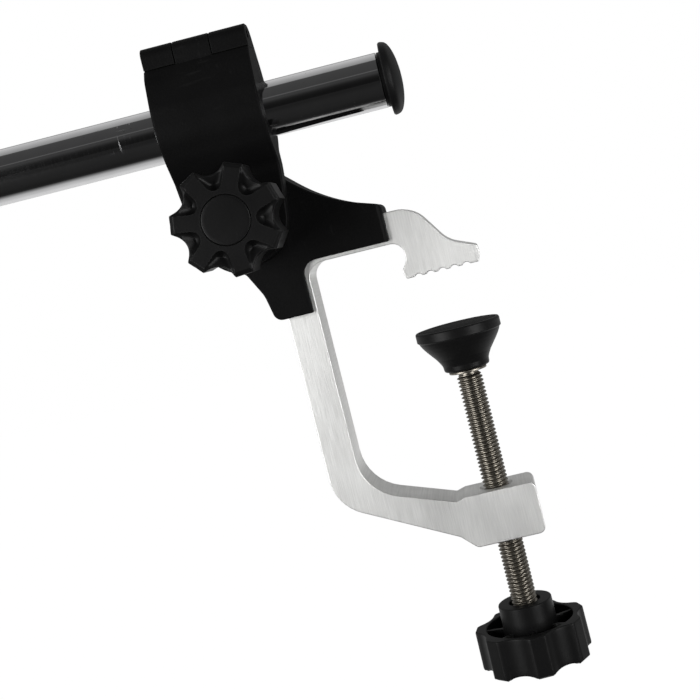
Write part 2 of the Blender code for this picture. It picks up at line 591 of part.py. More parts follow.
def make_foot():
    centre = (0.0, 0.0, BALL_Z)
    rim_bottom = FOOT_TOP_Z - FOOT_RIM_HEIGHT
    rim_top = FOOT_TOP_Z - PAD_PROUD
    recess = rim_top - PAD_THICKNESS + 2 * PAD_PROUD
    outside = [
        (FOOT_BOTTOM_RADIUS - FOOT_EDGE, FOOT_BOTTOM_Z), (FOOT_BOTTOM_RADIUS, FOOT_BOTTOM_Z + FOOT_EDGE),
        *FOOT_CONE, (FOOT_RADIUS - FOOT_EDGE / 2, rim_bottom), (FOOT_RADIUS, rim_bottom + FOOT_EDGE / 2),
        (FOOT_RADIUS, rim_top - FOOT_EDGE), (FOOT_RADIUS - FOOT_EDGE, rim_top),
    ]
    solid_foot = turned([(radius, z - BALL_Z) for radius, z in outside], centre, "Z")
    cup = add_part("foot_cup", solid_foot, BLACK_PLASTIC, centre)
    pad_recess = cylinder(PAD_RADIUS + GAP, recess - GAP - BALL_Z, FOOT_TOP_Z + PAST - BALL_Z, centre, "Z")
    shape(cup, "DIFFERENCE", pad_recess)
    socket = SEAT_RADIUS + GAP
    mouth = FOOT_BOTTOM_Z - PAST - BALL_Z
    waist = -math.sqrt(socket ** 2 - FOOT_MOUTH_RADIUS ** 2)
    hollow = [(FOOT_MOUTH_RADIUS, mouth), *sphere_profile(socket, 0.0, waist, socket * SOCKET_FLAT, 8)]
    shape(cup, "DIFFERENCE", turned(hollow, centre, "Z", 32))
    pad = turned([(PAD_RADIUS, recess - BALL_Z), (PAD_RADIUS, FOOT_TOP_Z - PAD_EDGE - BALL_Z),
                  (PAD_RADIUS - PAD_EDGE, FOOT_TOP_Z - BALL_Z)], centre, "Z")
    add_part("foot_pad", pad, RUBBER, centre)
    inner = BALL_RADIUS + GAP / 2
    seat_loop = (sphere_profile(SEAT_RADIUS, 0.0, *SEAT_OUTSIDE, 8)
                 + list(reversed(sphere_profile(inner, 0.0, *SEAT_INSIDE, 6))))
    seat = turned(seat_loop, centre, "Z", SMALL_SIDES, ring_shaped=True)
    add_part("foot_seat", seat, FIBRE, centre)
    plate_top = FOOT_BOTTOM_Z - GAP - BALL_Z
    plate = ring(PLATE_HOLE_RADIUS, PLATE_RADIUS, plate_top - PLATE_THICKNESS, plate_top, centre, "Z")
    add_part("foot_retaining_plate", plate, STEEL, centre)
    clip = ring(NECK_RADIUS + GAP / 2, THRUST_WASHER_RADIUS, *THRUST_WASHER_HEIGHTS, centre, "Z", SMALL_SIDES)
    add_part("thrust_washer", clip, STEEL, centre)


# ---- tube ------------------------------------------------------------------------------------------

def end_cap(name, tube_end, direction, origin):
    """A push-in plug with a short neck, a flange and a low dome."""
    plug = TUBE_RADIUS - TUBE_WALL - GAP
    profile = [(plug - PLUG_CHAMFER, -PLUG_LENGTH), (plug, PLUG_CHAMFER - PLUG_LENGTH), (plug, GAP),
               (CAP_NECK_RADIUS, GAP), (CAP_NECK_RADIUS, CAP_NECK_LENGTH), *CAP_FACE]
    add_part(name, turned(profile, (tube_end, TUBE_Y, TUBE_Z), direction), BLACK_PLASTIC, origin)


def make_tube():
    left = TUBE_RIGHT_X - TUBE_LENGTH
    axis = (0.0, TUBE_Y, TUBE_Z)
    tube = ring(TUBE_RADIUS - TUBE_WALL, TUBE_RADIUS, left, TUBE_RIGHT_X, axis, "X", 48)
    add_part("tube", tube, CHROME, (TUBE_RIGHT_X, TUBE_Y, TUBE_Z))
    end_cap("near_end_cap", TUBE_RIGHT_X, "X", (TUBE_RIGHT_X, TUBE_Y, TUBE_Z))
    end_cap("far_end_cap", left, "-X", (left, TUBE_Y, TUBE_Z))


clear_scene()
make_clamp_frame()
make_bracket()
make_pivot_stack()
make_holder()
make_knobs()
make_screw()
make_foot()
make_tube()
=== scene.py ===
# %% [markdown]
# # A table clamp stand with a tube holder
# A bright C-shaped clamp grips a table's edge, and a black hinged holder on its corner grips a round tube.
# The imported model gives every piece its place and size, so it is loaded first and never moved. Each later
# cell builds a finer surface in the place of one or more of its pieces, and gives it a finish.

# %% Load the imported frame
import json
import math

import bmesh
import bpy
import numpy as np
from mathutils import Matrix, Vector


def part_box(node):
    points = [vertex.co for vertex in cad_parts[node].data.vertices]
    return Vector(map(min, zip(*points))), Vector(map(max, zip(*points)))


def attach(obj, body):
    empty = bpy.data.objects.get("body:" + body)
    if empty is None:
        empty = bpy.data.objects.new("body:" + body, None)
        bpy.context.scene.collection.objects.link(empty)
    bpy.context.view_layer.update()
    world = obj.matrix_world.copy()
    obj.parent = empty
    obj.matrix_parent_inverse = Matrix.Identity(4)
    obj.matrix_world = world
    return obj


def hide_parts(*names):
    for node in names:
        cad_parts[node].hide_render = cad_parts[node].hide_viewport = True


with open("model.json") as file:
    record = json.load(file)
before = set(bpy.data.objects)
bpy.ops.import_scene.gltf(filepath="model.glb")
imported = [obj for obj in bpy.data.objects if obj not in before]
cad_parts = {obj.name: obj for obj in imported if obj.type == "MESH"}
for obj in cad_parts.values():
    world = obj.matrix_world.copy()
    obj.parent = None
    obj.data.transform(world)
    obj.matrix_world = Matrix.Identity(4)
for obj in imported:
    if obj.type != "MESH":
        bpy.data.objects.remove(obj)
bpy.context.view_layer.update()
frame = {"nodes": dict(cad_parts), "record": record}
print("pieces in the packed model:", len(frame["nodes"]))

# %% [markdown]
# ## Camera
# The clamp stands straight and the camera is rolled about its own line of sight, so the whole object leans
# in the view. The camera stands about half a metre in front and looks along +Y, with a medium long lens. A
# small shift moves the framing without turning the view, so the screw stays parallel to the arm.

# %% Camera
CAMERA_PLACE = Vector((0.01529, -0.47374, 0.01696))
CAMERA_AIM = Vector((-0.01593, 0.0, -0.00585))
CAMERA_ROLL = math.radians(-13.911)
LENS, SENSOR_WIDTH, FRAMING_SHIFT = 64.471, 36.0, -0.08

camera = bpy.data.objects.new("camera", bpy.data.cameras.new("camera"))
bpy.context.scene.collection.objects.link(camera)
forward = (CAMERA_AIM - CAMERA_PLACE).normalized()
level_right = forward.cross(Vector((0, 0, 1))).normalized()
level_up = level_right.cross(forward)
right = math.cos(CAMERA_ROLL) * level_right + math.sin(CAMERA_ROLL) * level_up
turned_axes = Matrix((right, right.cross(forward), -forward)).transposed().to_4x4()
camera.matrix_world = Matrix.Translation(CAMERA_PLACE) @ turned_axes
camera.data.lens = LENS
camera.data.sensor_width = SENSOR_WIDTH
camera.data.shift_x = FRAMING_SHIFT
camera.data.shift_y = FRAMING_SHIFT
camera.data.clip_start = 0.01
bpy.context.scene.camera = camera
print("camera looks along", [round(part, 3) for part in forward])

# %% [markdown]
# ## Floor, surroundings and lights
# Black plastic and chrome show their surroundings more than their own colour. A white floor below and a
# white wall of light behind draw pale edges round every dark shape; a dark room in front keeps the plastic
# black. Soft panels in front give the aluminium its even light grey and the tube its bright bands.


# %% Node helpers
def feed(tree, socket, value):
    """Link a socket to the output that feeds it, or give it a steady value."""
    if isinstance(value, bpy.types.NodeSocket):
        tree.links.new(value, socket)
    else:
        socket.default_value = value


def add_node(tree, kind, **settings):
    """A node of one kind; settings name its properties, or its inputs by their label with _ for a space."""
    node = tree.nodes.new(kind)
    for key, value in settings.items():
        if key in node.bl_rna.properties:
            setattr(node, key, value)
        else:
            feed(tree, node.inputs[key.replace("_", " ")], value)
    return node


def calculate(tree, operation, *values, kind="ShaderNodeMath"):
    """The result of a Math or Vector Math node on values, each a socket, a number or a vector."""
    node = add_node(tree, kind, operation=operation)
    for socket, value in zip(node.inputs, values):
        feed(tree, socket, value)
    return node.outputs["Value" if operation == "DOT_PRODUCT" else 0]


def map_range(tree, value, **limits):
    """A value carried from one range, 0 to 1 unless From_Min and From_Max are given, to another."""
    return add_node(tree, "ShaderNodeMapRange", Value=value, **limits).outputs["Result"]


def tint(tree, factor, first, second):
    """A colour that goes from the first to the second with a factor; each is a socket or a colour."""
    node = add_node(tree, "ShaderNodeMix", data_type="RGBA", Factor=factor)
    for socket, value in zip(node.inputs[6:8], (first, second)):
        feed(tree, socket, (*value, 1.0) if isinstance(value, tuple) else value)
    return node.outputs[2]


def grey_ramp(tree, source, stops):
    """A ramp of greys on a value; stops are (place, brightness)."""
    node = add_node(tree, "ShaderNodeValToRGB", Fac=source)
    points = node.color_ramp.elements
    while len(points) < len(stops):
        points.new(0.5)
    for point, (place, grey) in zip(points, stops):
        point.position = place
        point.color = (grey, grey, grey, 1.0)
    return node.outputs["Color"]


def white_to_camera(tree, glow):
    """White where it is looked at directly, and the given glow where it only lights the object."""
    looked_at = add_node(tree, "ShaderNodeLightPath").outputs["Is Camera Ray"]
    return tint(tree, looked_at, glow, (1.0, 1.0, 1.0))


# %% World
# (0 is straight in front of the object and 1 straight behind it, brightness)
ROOM_BANDS = [
    (0.0, 0.007), (0.02, 0.014), (0.06, 0.045), (0.10, 0.048), (0.115, 0.13), (0.13, 0.050), (0.43, 0.060),
    (0.49, 0.065), (0.515, 0.30), (0.67, 0.42), (0.88, 0.60), (0.97, 0.22),
]
# with most of its X part taken away, a direction to one side counts as in front or behind
KEPT_PARTS = (0.35, 1.0, 1.0)

world = bpy.data.worlds.new("studio")
bpy.context.scene.world = world
world.use_nodes = True
bpy.context.scene.view_settings.view_transform = "Standard"
tree = world.node_tree
tree.nodes.clear()
direction = add_node(tree, "ShaderNodeTexCoord").outputs["Generated"]
upright = calculate(tree, "MULTIPLY", direction, KEPT_PARTS, kind="ShaderNodeVectorMath")
unit = calculate(tree, "NORMALIZE", upright, kind="ShaderNodeVectorMath")
axes = add_node(tree, "ShaderNodeSeparateXYZ", Vector=unit)
behind = map_range(tree, axes.outputs["Y"], From_Min=-1.0, From_Max=1.0)
room = white_to_camera(tree, grey_ramp(tree, behind, ROOM_BANDS))
light_out = add_node(tree, "ShaderNodeBackground", Color=room, Strength=1.0)
add_node(tree, "ShaderNodeOutputWorld", Surface=light_out.outputs["Background"])
print("bands of light in the room:", len(ROOM_BANDS))

# %% Floor
FLOOR_Z, FLOOR_REACH = -0.36, 4.0
# (0 is half a metre in front of the object and 1 is 1.5 m behind it, brightness)
FLOOR_NEAR, FLOOR_FAR = -0.5, 1.5
FLOOR_BANDS = [
    (0.0, 0.013), (0.12, 0.012), (0.20, 0.008), (0.237, 0.014), (0.262, 0.14), (0.32, 0.50), (0.46, 0.72),
]

SQUARE = ((-1, -1), (1, -1), (1, 1), (-1, 1))
floor_corners = [(x * FLOOR_REACH, y * FLOOR_REACH, FLOOR_Z) for x, y in SQUARE]
floor_mesh = bpy.data.meshes.new("floor")
floor_mesh.from_pydata(floor_corners, [], [(0, 1, 2, 3)])
floor = bpy.data.objects.new("floor", floor_mesh)
bpy.context.scene.collection.objects.link(floor)
paper = bpy.data.materials.new("floor paper")
paper.use_nodes = True
tree = paper.node_tree
sheet = tree.nodes["Principled BSDF"].inputs
sheet["Base Color"].default_value = (0.008, 0.008, 0.008, 1.0)
sheet["Roughness"].default_value = 0.9
sheet["Specular IOR Level"].default_value = 0.0
sheet["Emission Strength"].default_value = 1.0
place = add_node(tree, "ShaderNodeTexCoord").outputs["Object"]
axes = add_node(tree, "ShaderNodeSeparateXYZ", Vector=place)
far_side = map_range(tree, axes.outputs["Y"], From_Min=FLOOR_NEAR, From_Max=FLOOR_FAR)
feed(tree, sheet["Emission Color"], white_to_camera(tree, grey_ramp(tree, far_side, FLOOR_BANDS)))
floor_mesh.materials.append(paper)

# %% Soft panels
OBJECT_MIDDLE = Vector((-0.04, 0.0, 0.0))


def soft_panel(name, place, width, height, watts):
    """An area light at a place, in metres, that faces the middle of the object."""
    panel = bpy.data.objects.new(name, bpy.data.lights.new(name, "AREA"))
    panel.data.shape = "RECTANGLE"
    panel.data.size = width
    panel.data.size_y = height
    panel.data.energy = watts
    panel.location = place
    panel.rotation_euler = (OBJECT_MIDDLE - Vector(place)).to_track_quat("-Z", "Y").to_euler()
    bpy.context.scene.collection.objects.link(panel)


soft_panel("left_panel", (-0.85, -0.75, -0.05), 0.60, 1.00, 13.5)
soft_panel("right_panel", (0.80, -0.75, -0.10), 0.50, 1.00, 12.0)

# %% [markdown]
# ## Helpers for surfaces
# Every new piece is a stack of rings: closed loops of points with the same count, joined by quads. A turned
# piece, a thread, a star knob and a plate with rounded edges are all such stacks, and only the rule that
# places the points changes. Points are worked out in millimetres as whole arrays and stored in metres.

# %% Rings to a mesh
MM = 0.001


def box_mm(node):
    """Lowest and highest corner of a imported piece, in millimetres."""
    low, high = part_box(node)
    return np.array(low) / MM, np.array(high) / MM


def ring_quads(rows, columns, wrap):
    """Quads between neighbouring rings and columns; the last column joins the first, and with wrap the rings
    close up in the same way."""
    steps = rows if wrap else rows - 1
    row, column = np.meshgrid(np.arange(steps), np.arange(columns), indexing="ij")
    here, above = row * columns, (row + 1) % rows * columns
    beside = (column + 1) % columns
    corners = (here + column, here + beside, above + beside, above + column)
    return np.stack(corners, axis=-1).reshape(-1, 4)


def enclosed_volume(points, faces):
    """A sixth of the sum of every fan triangle's triple product: positive when the faces point outwards."""
    total = 0.0
    for size in sorted({len(face) for face in faces}):
        loops = np.array([face for face in faces if len(face) == size])
        for k in range(1, size - 1):
            a, b, c = points[loops[:, 0]], points[loops[:, k]], points[loops[:, k + 1]]
            total += np.einsum("ij,ij->", a, np.cross(b, c))
    return total / 6.0


def skin(name, rings, wrap=False):
    """An object from an array of rings (rows, columns, 3) in mm; open ends are filled with one flat face."""
    rings = np.asarray(rings, dtype=float)
    rows, columns, _ = rings.shape
    points = rings.reshape(-1, 3)
    faces = ring_quads(rows, columns, wrap).tolist()
    if not wrap:
        faces.append(list(range(columns))[::-1])
        faces.append(list(range((rows - 1) * columns, rows * columns)))
    if enclosed_volume(points, faces) < 0:
        faces = [face[::-1] for face in faces]
    mesh = bpy.data.meshes.new(name)
    mesh.from_pydata((points * MM).tolist(), [], faces)
    thing = bpy.data.objects.new(name, mesh)
    bpy.context.scene.collection.objects.link(thing)
    return thing


WELD_DISTANCE = 0.001 * MM


def combine(thing, tool, operation="DIFFERENCE"):
    """Cut the tool from a piece, or join it on, and throw the tool away."""
    step = thing.modifiers.new("combine", "BOOLEAN")
    step.operation, step.object, step.solver = operation, tool, "EXACT"
    graph = bpy.context.evaluated_depsgraph_get()
    result = bpy.data.meshes.new_from_object(thing.evaluated_get(graph))
    thing.modifiers.clear()
    welded = bmesh.new()
    welded.from_mesh(result)
    bmesh.ops.remove_doubles(welded, verts=welded.verts, dist=WELD_DISTANCE)
    welded.to_mesh(result)
    welded.free()
    thing.data = result
    bpy.data.objects.remove(tool)
    return thing


# %% Turned pieces
DIRECTIONS = {
    "X": ((1, 0, 0), (0, 0, 1), (0, -1, 0)),
    "-X": ((-1, 0, 0), (0, 0, 1), (0, -1, 0)),
    "Y": ((0, 1, 0), (1, 0, 0), (0, 0, 1)),
    "-Y": ((0, -1, 0), (1, 0, 0), (0, 0, 1)),
    "Z": ((0, 0, 1), (1, 0, 0), (0, 1, 0)),
    "-Z": ((0, 0, -1), (1, 0, 0), (0, 1, 0)),
}
ORIGIN = (0.0, 0.0, 0.0)


def full_turn(columns):
    """Equal angles round a circle, the last one just short of the first."""
    return np.linspace(0, math.tau, columns, endpoint=False)


def around(radius, height, angle, centre, direction):
    """Centre + height along the axis + radius times (cos angle along one side, sin along the other)."""
    axis, side, other = (np.array(line, dtype=float) for line in DIRECTIONS[direction])
    radius, height, angle = np.broadcast_arrays(radius, height, angle)
    out = radius[..., None] * (np.cos(angle)[..., None] * side + np.sin(angle)[..., None] * other)
    return np.asarray(centre, dtype=float) + height[..., None] * axis + out


def turned(name, profile, centre, direction, sides=96, wrap=False):
    """A profile of (radius, height) in mm carried round an axis through the centre."""
    profile = np.array(profile, dtype=float)
    rings = around(profile[:, :1], profile[:, 1:], full_turn(sides)[None, :], centre, direction)
    return skin(name, rings, wrap)


def eased(profile, ease, steps=4):
    """An open profile with each corner made a curve, (1-t)^2 start + 2t(1-t) corner + t^2 end."""
    loop = np.array(profile, dtype=float)
    corner = loop[1:-1]
    into, away = corner - loop[:-2], loop[2:] - corner
    reach_in, reach_away = np.linalg.norm(into, axis=1), np.linalg.norm(away, axis=1)
    reach = np.minimum(ease, 0.45 * np.minimum(reach_in, reach_away))[:, None]
    start = corner - into / reach_in[:, None] * reach
    end = corner + away / reach_away[:, None] * reach
    t = np.linspace(0, 1, steps + 1)[None, :, None]
    bend = (1 - t) ** 2 * start[:, None] + 2 * t * (1 - t) * corner[:, None] + t ** 2 * end[:, None]
    return np.vstack([loop[:1], bend.reshape(-1, 2), loop[-1:]])


# %% Plates with rounded edges
SHARPEST = 0.02


def cross_2d(first, second):
    """Row by row, the cross product of two arrays of vectors in a plane."""
    return first[:, 0] * second[:, 1] - first[:, 1] * second[:, 0]


def rounded_outline(corners, inset=0.0, per_corner=9):
    """Each corner (a, b, radius) becomes a tangent arc. Inset first moves every side inwards, so a bulging
    arc's radius shrinks by it and a hollow arc's grows."""
    corners = np.array(corners, dtype=float)
    place, radius = corners[:, :2], corners[:, 2]
    before, after = np.roll(place, 1, axis=0), np.roll(place, -1, axis=0)
    into, away = place - before, after - place
    side = np.sign(np.sum(cross_2d(place, after)))
    into /= np.linalg.norm(into, axis=1)[:, None]
    away /= np.linalg.norm(away, axis=1)[:, None]
    inward_in = side * np.stack([-into[:, 1], into[:, 0]], axis=1)
    inward_away = side * np.stack([-away[:, 1], away[:, 0]], axis=1)
    lean = 1 + np.sum(inward_in * inward_away, axis=1)
    moved = place + inset * (inward_in + inward_away) / lean[:, None]
    turn = np.arctan2(cross_2d(into, away), np.sum(into * away, axis=1))
    bulges = np.sign(turn) * side
    radius = np.maximum(radius - inset * bulges, SHARPEST)
    start = moved - into * (radius * np.tan(np.abs(turn) / 2))[:, None]
    centre = start + inward_in * (radius * bulges)[:, None]
    angle = turn[:, None] * np.linspace(0, 1, per_corner)
    arm = (start - centre)[:, None, :]
    x = centre[:, None, 0] + arm[..., 0] * np.cos(angle) - arm[..., 1] * np.sin(angle)
    y = centre[:, None, 1] + arm[..., 0] * np.sin(angle) + arm[..., 1] * np.cos(angle)
    return np.stack([x, y], axis=-1).reshape(-1, 2)


def arc_corners(centre, radius, start, end, count):
    """Corners round a circle whose rounding with the same radius gives back the circle's arc."""
    half = math.radians(end - start) / count / 2
    middle = math.radians(start) + half * (2 * np.arange(count) + 1)
    reach = radius / math.cos(half)
    return [(centre[0] + reach * math.cos(a), centre[1] + reach * math.sin(a), radius) for a in middle]


EDGE_ANGLES = np.radians([0, 15, 35, 55, 75, 90])
THIN_BORDER = 0.06


def edge_levels(low, high, low_ease, high_ease, border=0.35):
    """(depth, inset) from one flat face to the other: a quarter round at each edge and two flat borders,
    which keep the face's wide middle free from the edge's shading."""
    levels = []
    for face, inward, ease in ((low, 1, low_ease), (high, -1, high_ease)):
        edge = [(face, ease + border), (face, ease + THIN_BORDER)]
        edge += [(face + inward * ease * (1 - math.cos(a)), ease * (1 - math.sin(a))) for a in EDGE_ANGLES]
        levels += edge[::inward]
    return levels


def plate(name, corners, axis, levels, per_corner=9):
    """An outline carried along X, Y or Z through levels of (depth, inset)."""
    order = {"X": (2, 0, 1), "Y": (0, 2, 1), "Z": (0, 1, 2)}[axis]
    rings = []
    for depth, inset in levels:
        outline = rounded_outline(corners, inset, per_corner)
        ring = np.column_stack([outline, np.full(len(outline), depth)])
        rings.append(ring[:, order])
    return skin(name, rings)


# %% [markdown]
# ## Effects that several finishes share
# Real surfaces are never one even colour. Moulded plastic has a fine grain and a few pale scuffs, drawn
# metal has lines along one direction, and every edge gets a painted highlight, a lighter colour for the
# light it catches.
# Each effect is a small node group, so every finish can use it with its own strength.


# %% Node group maker
def new_group(name, inputs, outputs):
    """An empty node group of plain values; inputs are (name, default) and outputs are names."""
    group = bpy.data.node_groups.new(name, "ShaderNodeTree")
    for label, value in inputs:
        socket = group.interface.new_socket(label, in_out="INPUT", socket_type="NodeSocketFloat")
        socket.default_value = value
    for label in outputs:
        group.interface.new_socket(label, in_out="OUTPUT", socket_type="NodeSocketFloat")
    return group, group.nodes.new("NodeGroupInput").outputs, group.nodes.new("NodeGroupOutput").inputs


EVEN = (1.0, 1.0, 1.0)


def stretched_noise(tree, stretch, scale, detail=3.0):
    """Noise on the piece's own coordinates, in metres, finer along X, Y or Z where the stretch is larger."""
    coordinates = add_node(tree, "ShaderNodeTexCoord").outputs["Object"]
    mapping = add_node(tree, "ShaderNodeMapping", Vector=coordinates, Scale=stretch)
    vector = mapping.outputs["Vector"]
    return add_node(tree, "ShaderNodeTexNoise", Vector=vector, Scale=scale, Detail=detail).outputs["Fac"]


# %% Moulded grain
def make_grain_group():
    """Height: two sizes of noise added, like the etched inside of a mould. Cloud: slow changes of shade."""
    group, inputs, outputs = new_group("moulded grain", [("Grain Scale", 2500.0)], ("Height", "Cloud"))
    fine = stretched_noise(group, EVEN, inputs["Grain Scale"])
    coarse = calculate(group, "MULTIPLY", stretched_noise(group, EVEN, 700.0, 2.0), 0.5)
    feed(group, outputs["Height"], calculate(group, "ADD", fine, coarse))
    feed(group, outputs["Cloud"], stretched_noise(group, EVEN, 60.0, 4.0))
    return group


# %% Scuffs and dust
SCUFF_CONTRAST, PATCH_CONTRAST = 12.0, 4.0
DUST_CELLS, DUST_SIZE = 420.0, 0.10


def above(tree, value, threshold, contrast):
    """How far a value is above a threshold, times a contrast, and never below 0."""
    over = calculate(tree, "SUBTRACT", value, threshold)
    return calculate(tree, "MAXIMUM", calculate(tree, "MULTIPLY", over, contrast), 0.0)


def make_scuff_group():
    """Scuffs: thin crests of two noises drawn out along different directions. Dust: rare bright cells.
    Both lie in patches only."""
    group, inputs, outputs = new_group("scuffs and dust", [("Rarity", 0.72)], ("Scuffs", "Dust"))
    one = stretched_noise(group, (1.0, 1.0, 0.12), 900.0, 1.0)
    other = stretched_noise(group, (0.15, 1.0, 1.0), 700.0, 1.0)
    crests = above(group, calculate(group, "MAXIMUM", one, other), inputs["Rarity"], SCUFF_CONTRAST)
    patches = above(group, stretched_noise(group, EVEN, 45.0, 2.0), 0.5, PATCH_CONTRAST)
    scuffs = calculate(group, "MULTIPLY", crests, patches)
    feed(group, outputs["Scuffs"], calculate(group, "MINIMUM", scuffs, 1.0))
    coordinates = add_node(group, "ShaderNodeTexCoord").outputs["Object"]
    cells = add_node(group, "ShaderNodeTexVoronoi", Vector=coordinates, Scale=DUST_CELLS)
    speck = calculate(group, "LESS_THAN", cells.outputs["Distance"], DUST_SIZE)
    feed(group, outputs["Dust"], calculate(group, "MULTIPLY", speck, patches))
    return group


# %% Painted edge highlights
EDGE_REACH = 0.4 * MM
SAME_WAY, LEANING = 0.99, 0.85


def make_edge_highlight_group():
    """Edge: how far the normal averaged over a small radius leans from the surface's own, times noise; it
    masks painted edge highlights.
    """
    group, _, outputs = new_group("painted edge highlights and polish", [], ("Edge",))
    averaged = add_node(group, "ShaderNodeBevel", samples=4, Radius=EDGE_REACH).outputs["Normal"]
    own = add_node(group, "ShaderNodeNewGeometry").outputs["Normal"]
    alike = calculate(group, "DOT_PRODUCT", averaged, own, kind="ShaderNodeVectorMath")
    edge = map_range(group, alike, From_Min=SAME_WAY, From_Max=LEANING)
    broken = map_range(group, stretched_noise(group, EVEN, 300.0), To_Min=0.25, To_Max=1.15)
    feed(group, outputs["Edge"], calculate(group, "MULTIPLY", edge, broken))
    return group


# %% Drawn lines
FACING_FRONT = 0.7


def make_line_group():
    """Lines on faces towards Y run up and down; on all other faces they run along Y, the bar's own
    direction. Shade: half the lines and half slow clouds."""
    group, _, outputs = new_group("drawn lines", [], ("Height", "Shade"))
    cut = stretched_noise(group, (2600.0, 90.0, 110.0), 1.0, 4.0)
    drawn = stretched_noise(group, (1500.0, 40.0, 1500.0), 1.0)
    cloud = stretched_noise(group, (60.0, 60.0, 25.0), 1.0)
    facing = add_node(group, "ShaderNodeNewGeometry").outputs["True Normal"]
    facing = add_node(group, "ShaderNodeSeparateXYZ", Vector=facing).outputs["Y"]
    to_front = calculate(group, "GREATER_THAN", calculate(group, "ABSOLUTE", facing), FACING_FRONT)
    blend = add_node(group, "ShaderNodeMix", Factor=to_front)
    feed(group, blend.inputs[2], drawn)
    feed(group, blend.inputs[3], cut)
    lines = blend.outputs[0]
    feed(group, outputs["Height"], lines)
    both = calculate(group, "ADD", lines, cloud)
    feed(group, outputs["Shade"], calculate(group, "MULTIPLY", both, 0.5))
    return group


GRAIN, SCUFFS, EDGE_HIGHLIGHTS, LINES = make_grain_group(), make_scuff_group(), make_edge_highlight_group(), make_line_group()
print("shared effects:", [group.name for group in (GRAIN, SCUFFS, EDGE_HIGHLIGHTS, LINES)])

# %% [markdown]
# ## Finishes
# One material for each slot of the record. The shader sits in the material itself; the groups only feed its
# colour, roughness and normal. Metals get their look from roughness and fine lines, plastics from a dark
# base with a faint sheen on top.


# %% Material maker
def new_finish(name, colour, roughness, metallic):
    """A material with one Principled shader, its steady values set on its own sockets."""
    material = bpy.data.materials.new(name)
    material.use_nodes = True
    shader = material.node_tree.nodes["Principled BSDF"].inputs
    shader["Base Color"].default_value = (*colour, 1.0)
    shader["Roughness"].default_value = roughness
    shader["Metallic"].default_value = metallic
    return material, material.node_tree, shader


def effect(tree, group, **values):
    """The outputs of a shared effect placed in a material, with its named inputs set."""
    return add_node(tree, "ShaderNodeGroup", node_tree=group, **values).outputs


def shaded(colour, factor):
    """A colour made darker or lighter by a factor."""
    return tuple(factor * part for part in colour)


def painted(tree, base, mask, strength, colour):
    """A colour laid over a base where a mask is bright."""
    return tint(tree, calculate(tree, "MULTIPLY", mask, strength), base, colour)


def bump(tree, shader, height, distance):
    """Height in the unit range, scaled by a distance in metres, bends the normal."""
    node = add_node(tree, "ShaderNodeBump", Strength=1.0, Distance=distance, Height=height)
    feed(tree, shader["Normal"], node.outputs["Normal"])


# %% Plastics
SCUFF_GREY, DUST_GREY = (0.06, 0.06, 0.06), (0.10, 0.10, 0.10)


def moulded_plastic(name, colour, roughness, grain_depth, grain_scale, edge_highlight, dusty, gleam=0.12):
    """Dark moulded plastic: grain, slow clouds of shade, pale scuffs, dust specks and painted edge
    highlights.
    """
    material, tree, shader = new_finish(name, colour, roughness, 0.0)
    shader["Specular IOR Level"].default_value = gleam
    grain = effect(tree, GRAIN, Grain_Scale=grain_scale)
    marks = effect(tree, SCUFFS, Rarity=0.66)
    edges = effect(tree, EDGE_HIGHLIGHTS)
    base = tint(tree, grain["Cloud"], shaded(colour, 0.75), shaded(colour, 1.3))
    # painted highlight: the edges are made lighter in colour for the light they catch
    base = painted(tree, base, edges["Edge"], 0.55, tuple(part + edge_highlight for part in colour))
    base = painted(tree, base, marks["Scuffs"], 0.35 * dusty, SCUFF_GREY)
    base = painted(tree, base, marks["Dust"], 0.35 * dusty, DUST_GREY)
    feed(tree, shader["Base Color"], base)
    rough = map_range(tree, grain["Cloud"], To_Min=roughness - 0.07, To_Max=roughness + 0.09)
    smoother = calculate(tree, "MULTIPLY", edges["Edge"], 0.10)
    feed(tree, shader["Roughness"], calculate(tree, "SUBTRACT", rough, smoother))
    bump(tree, shader, grain["Height"], grain_depth)
    return material


# %% Metals
PAINTED_EDGE_HIGHLIGHT, SCRATCH_GREY, STAIN_BROWN = (0.95, 0.95, 0.95), (0.55, 0.55, 0.55), (0.12, 0.10, 0.08)


def brushed_aluminium(name, colour, roughness, line_depth):
    """Fine lines change the shade and bend the normal a little; edges get a painted highlight."""
    material, tree, shader = new_finish(name, colour, roughness, 1.0)
    shader["Anisotropic"].default_value = 0.25
    lines = effect(tree, LINES)
    base = tint(tree, lines["Shade"], shaded(colour, 0.62), shaded(colour, 1.18))
    base = painted(tree, base, effect(tree, SCUFFS, Rarity=0.70)["Scuffs"], 0.25, SCRATCH_GREY)
    # painted highlight: a near-white colour on the edges for the light they catch
    base = painted(tree, base, effect(tree, EDGE_HIGHLIGHTS)["Edge"], 0.3, PAINTED_EDGE_HIGHLIGHT)
    feed(tree, shader["Base Color"], base)
    rough = map_range(tree, lines["Shade"], To_Min=roughness - 0.08, To_Max=roughness + 0.10)
    feed(tree, shader["Roughness"], rough)
    bump(tree, shader, lines["Height"], line_depth)
    return material


def plain_metal(name, colour, roughness, spots, line_depth, stretch):
    """Turned, rolled or plated metal: lines round the work, slow stains and a few fine marks."""
    material, tree, shader = new_finish(name, colour, roughness, 1.0)
    marks = effect(tree, SCUFFS, Rarity=0.68)
    stain = stretched_noise(tree, EVEN, 90.0, 4.0)
    lines = stretched_noise(tree, stretch, 1.0)
    base = tint(tree, stain, shaded(colour, 0.85), shaded(colour, 1.1))
    feed(tree, shader["Base Color"], painted(tree, base, marks["Dust"], spots, STAIN_BROWN))
    rough = map_range(tree, lines, To_Min=max(roughness - 0.05, 0.02), To_Max=roughness + 0.06)
    scratched = calculate(tree, "MULTIPLY", marks["Scuffs"], 0.25)
    feed(tree, shader["Roughness"], calculate(tree, "ADD", rough, scratched))
    bump(tree, shader, lines, line_depth)
    return material


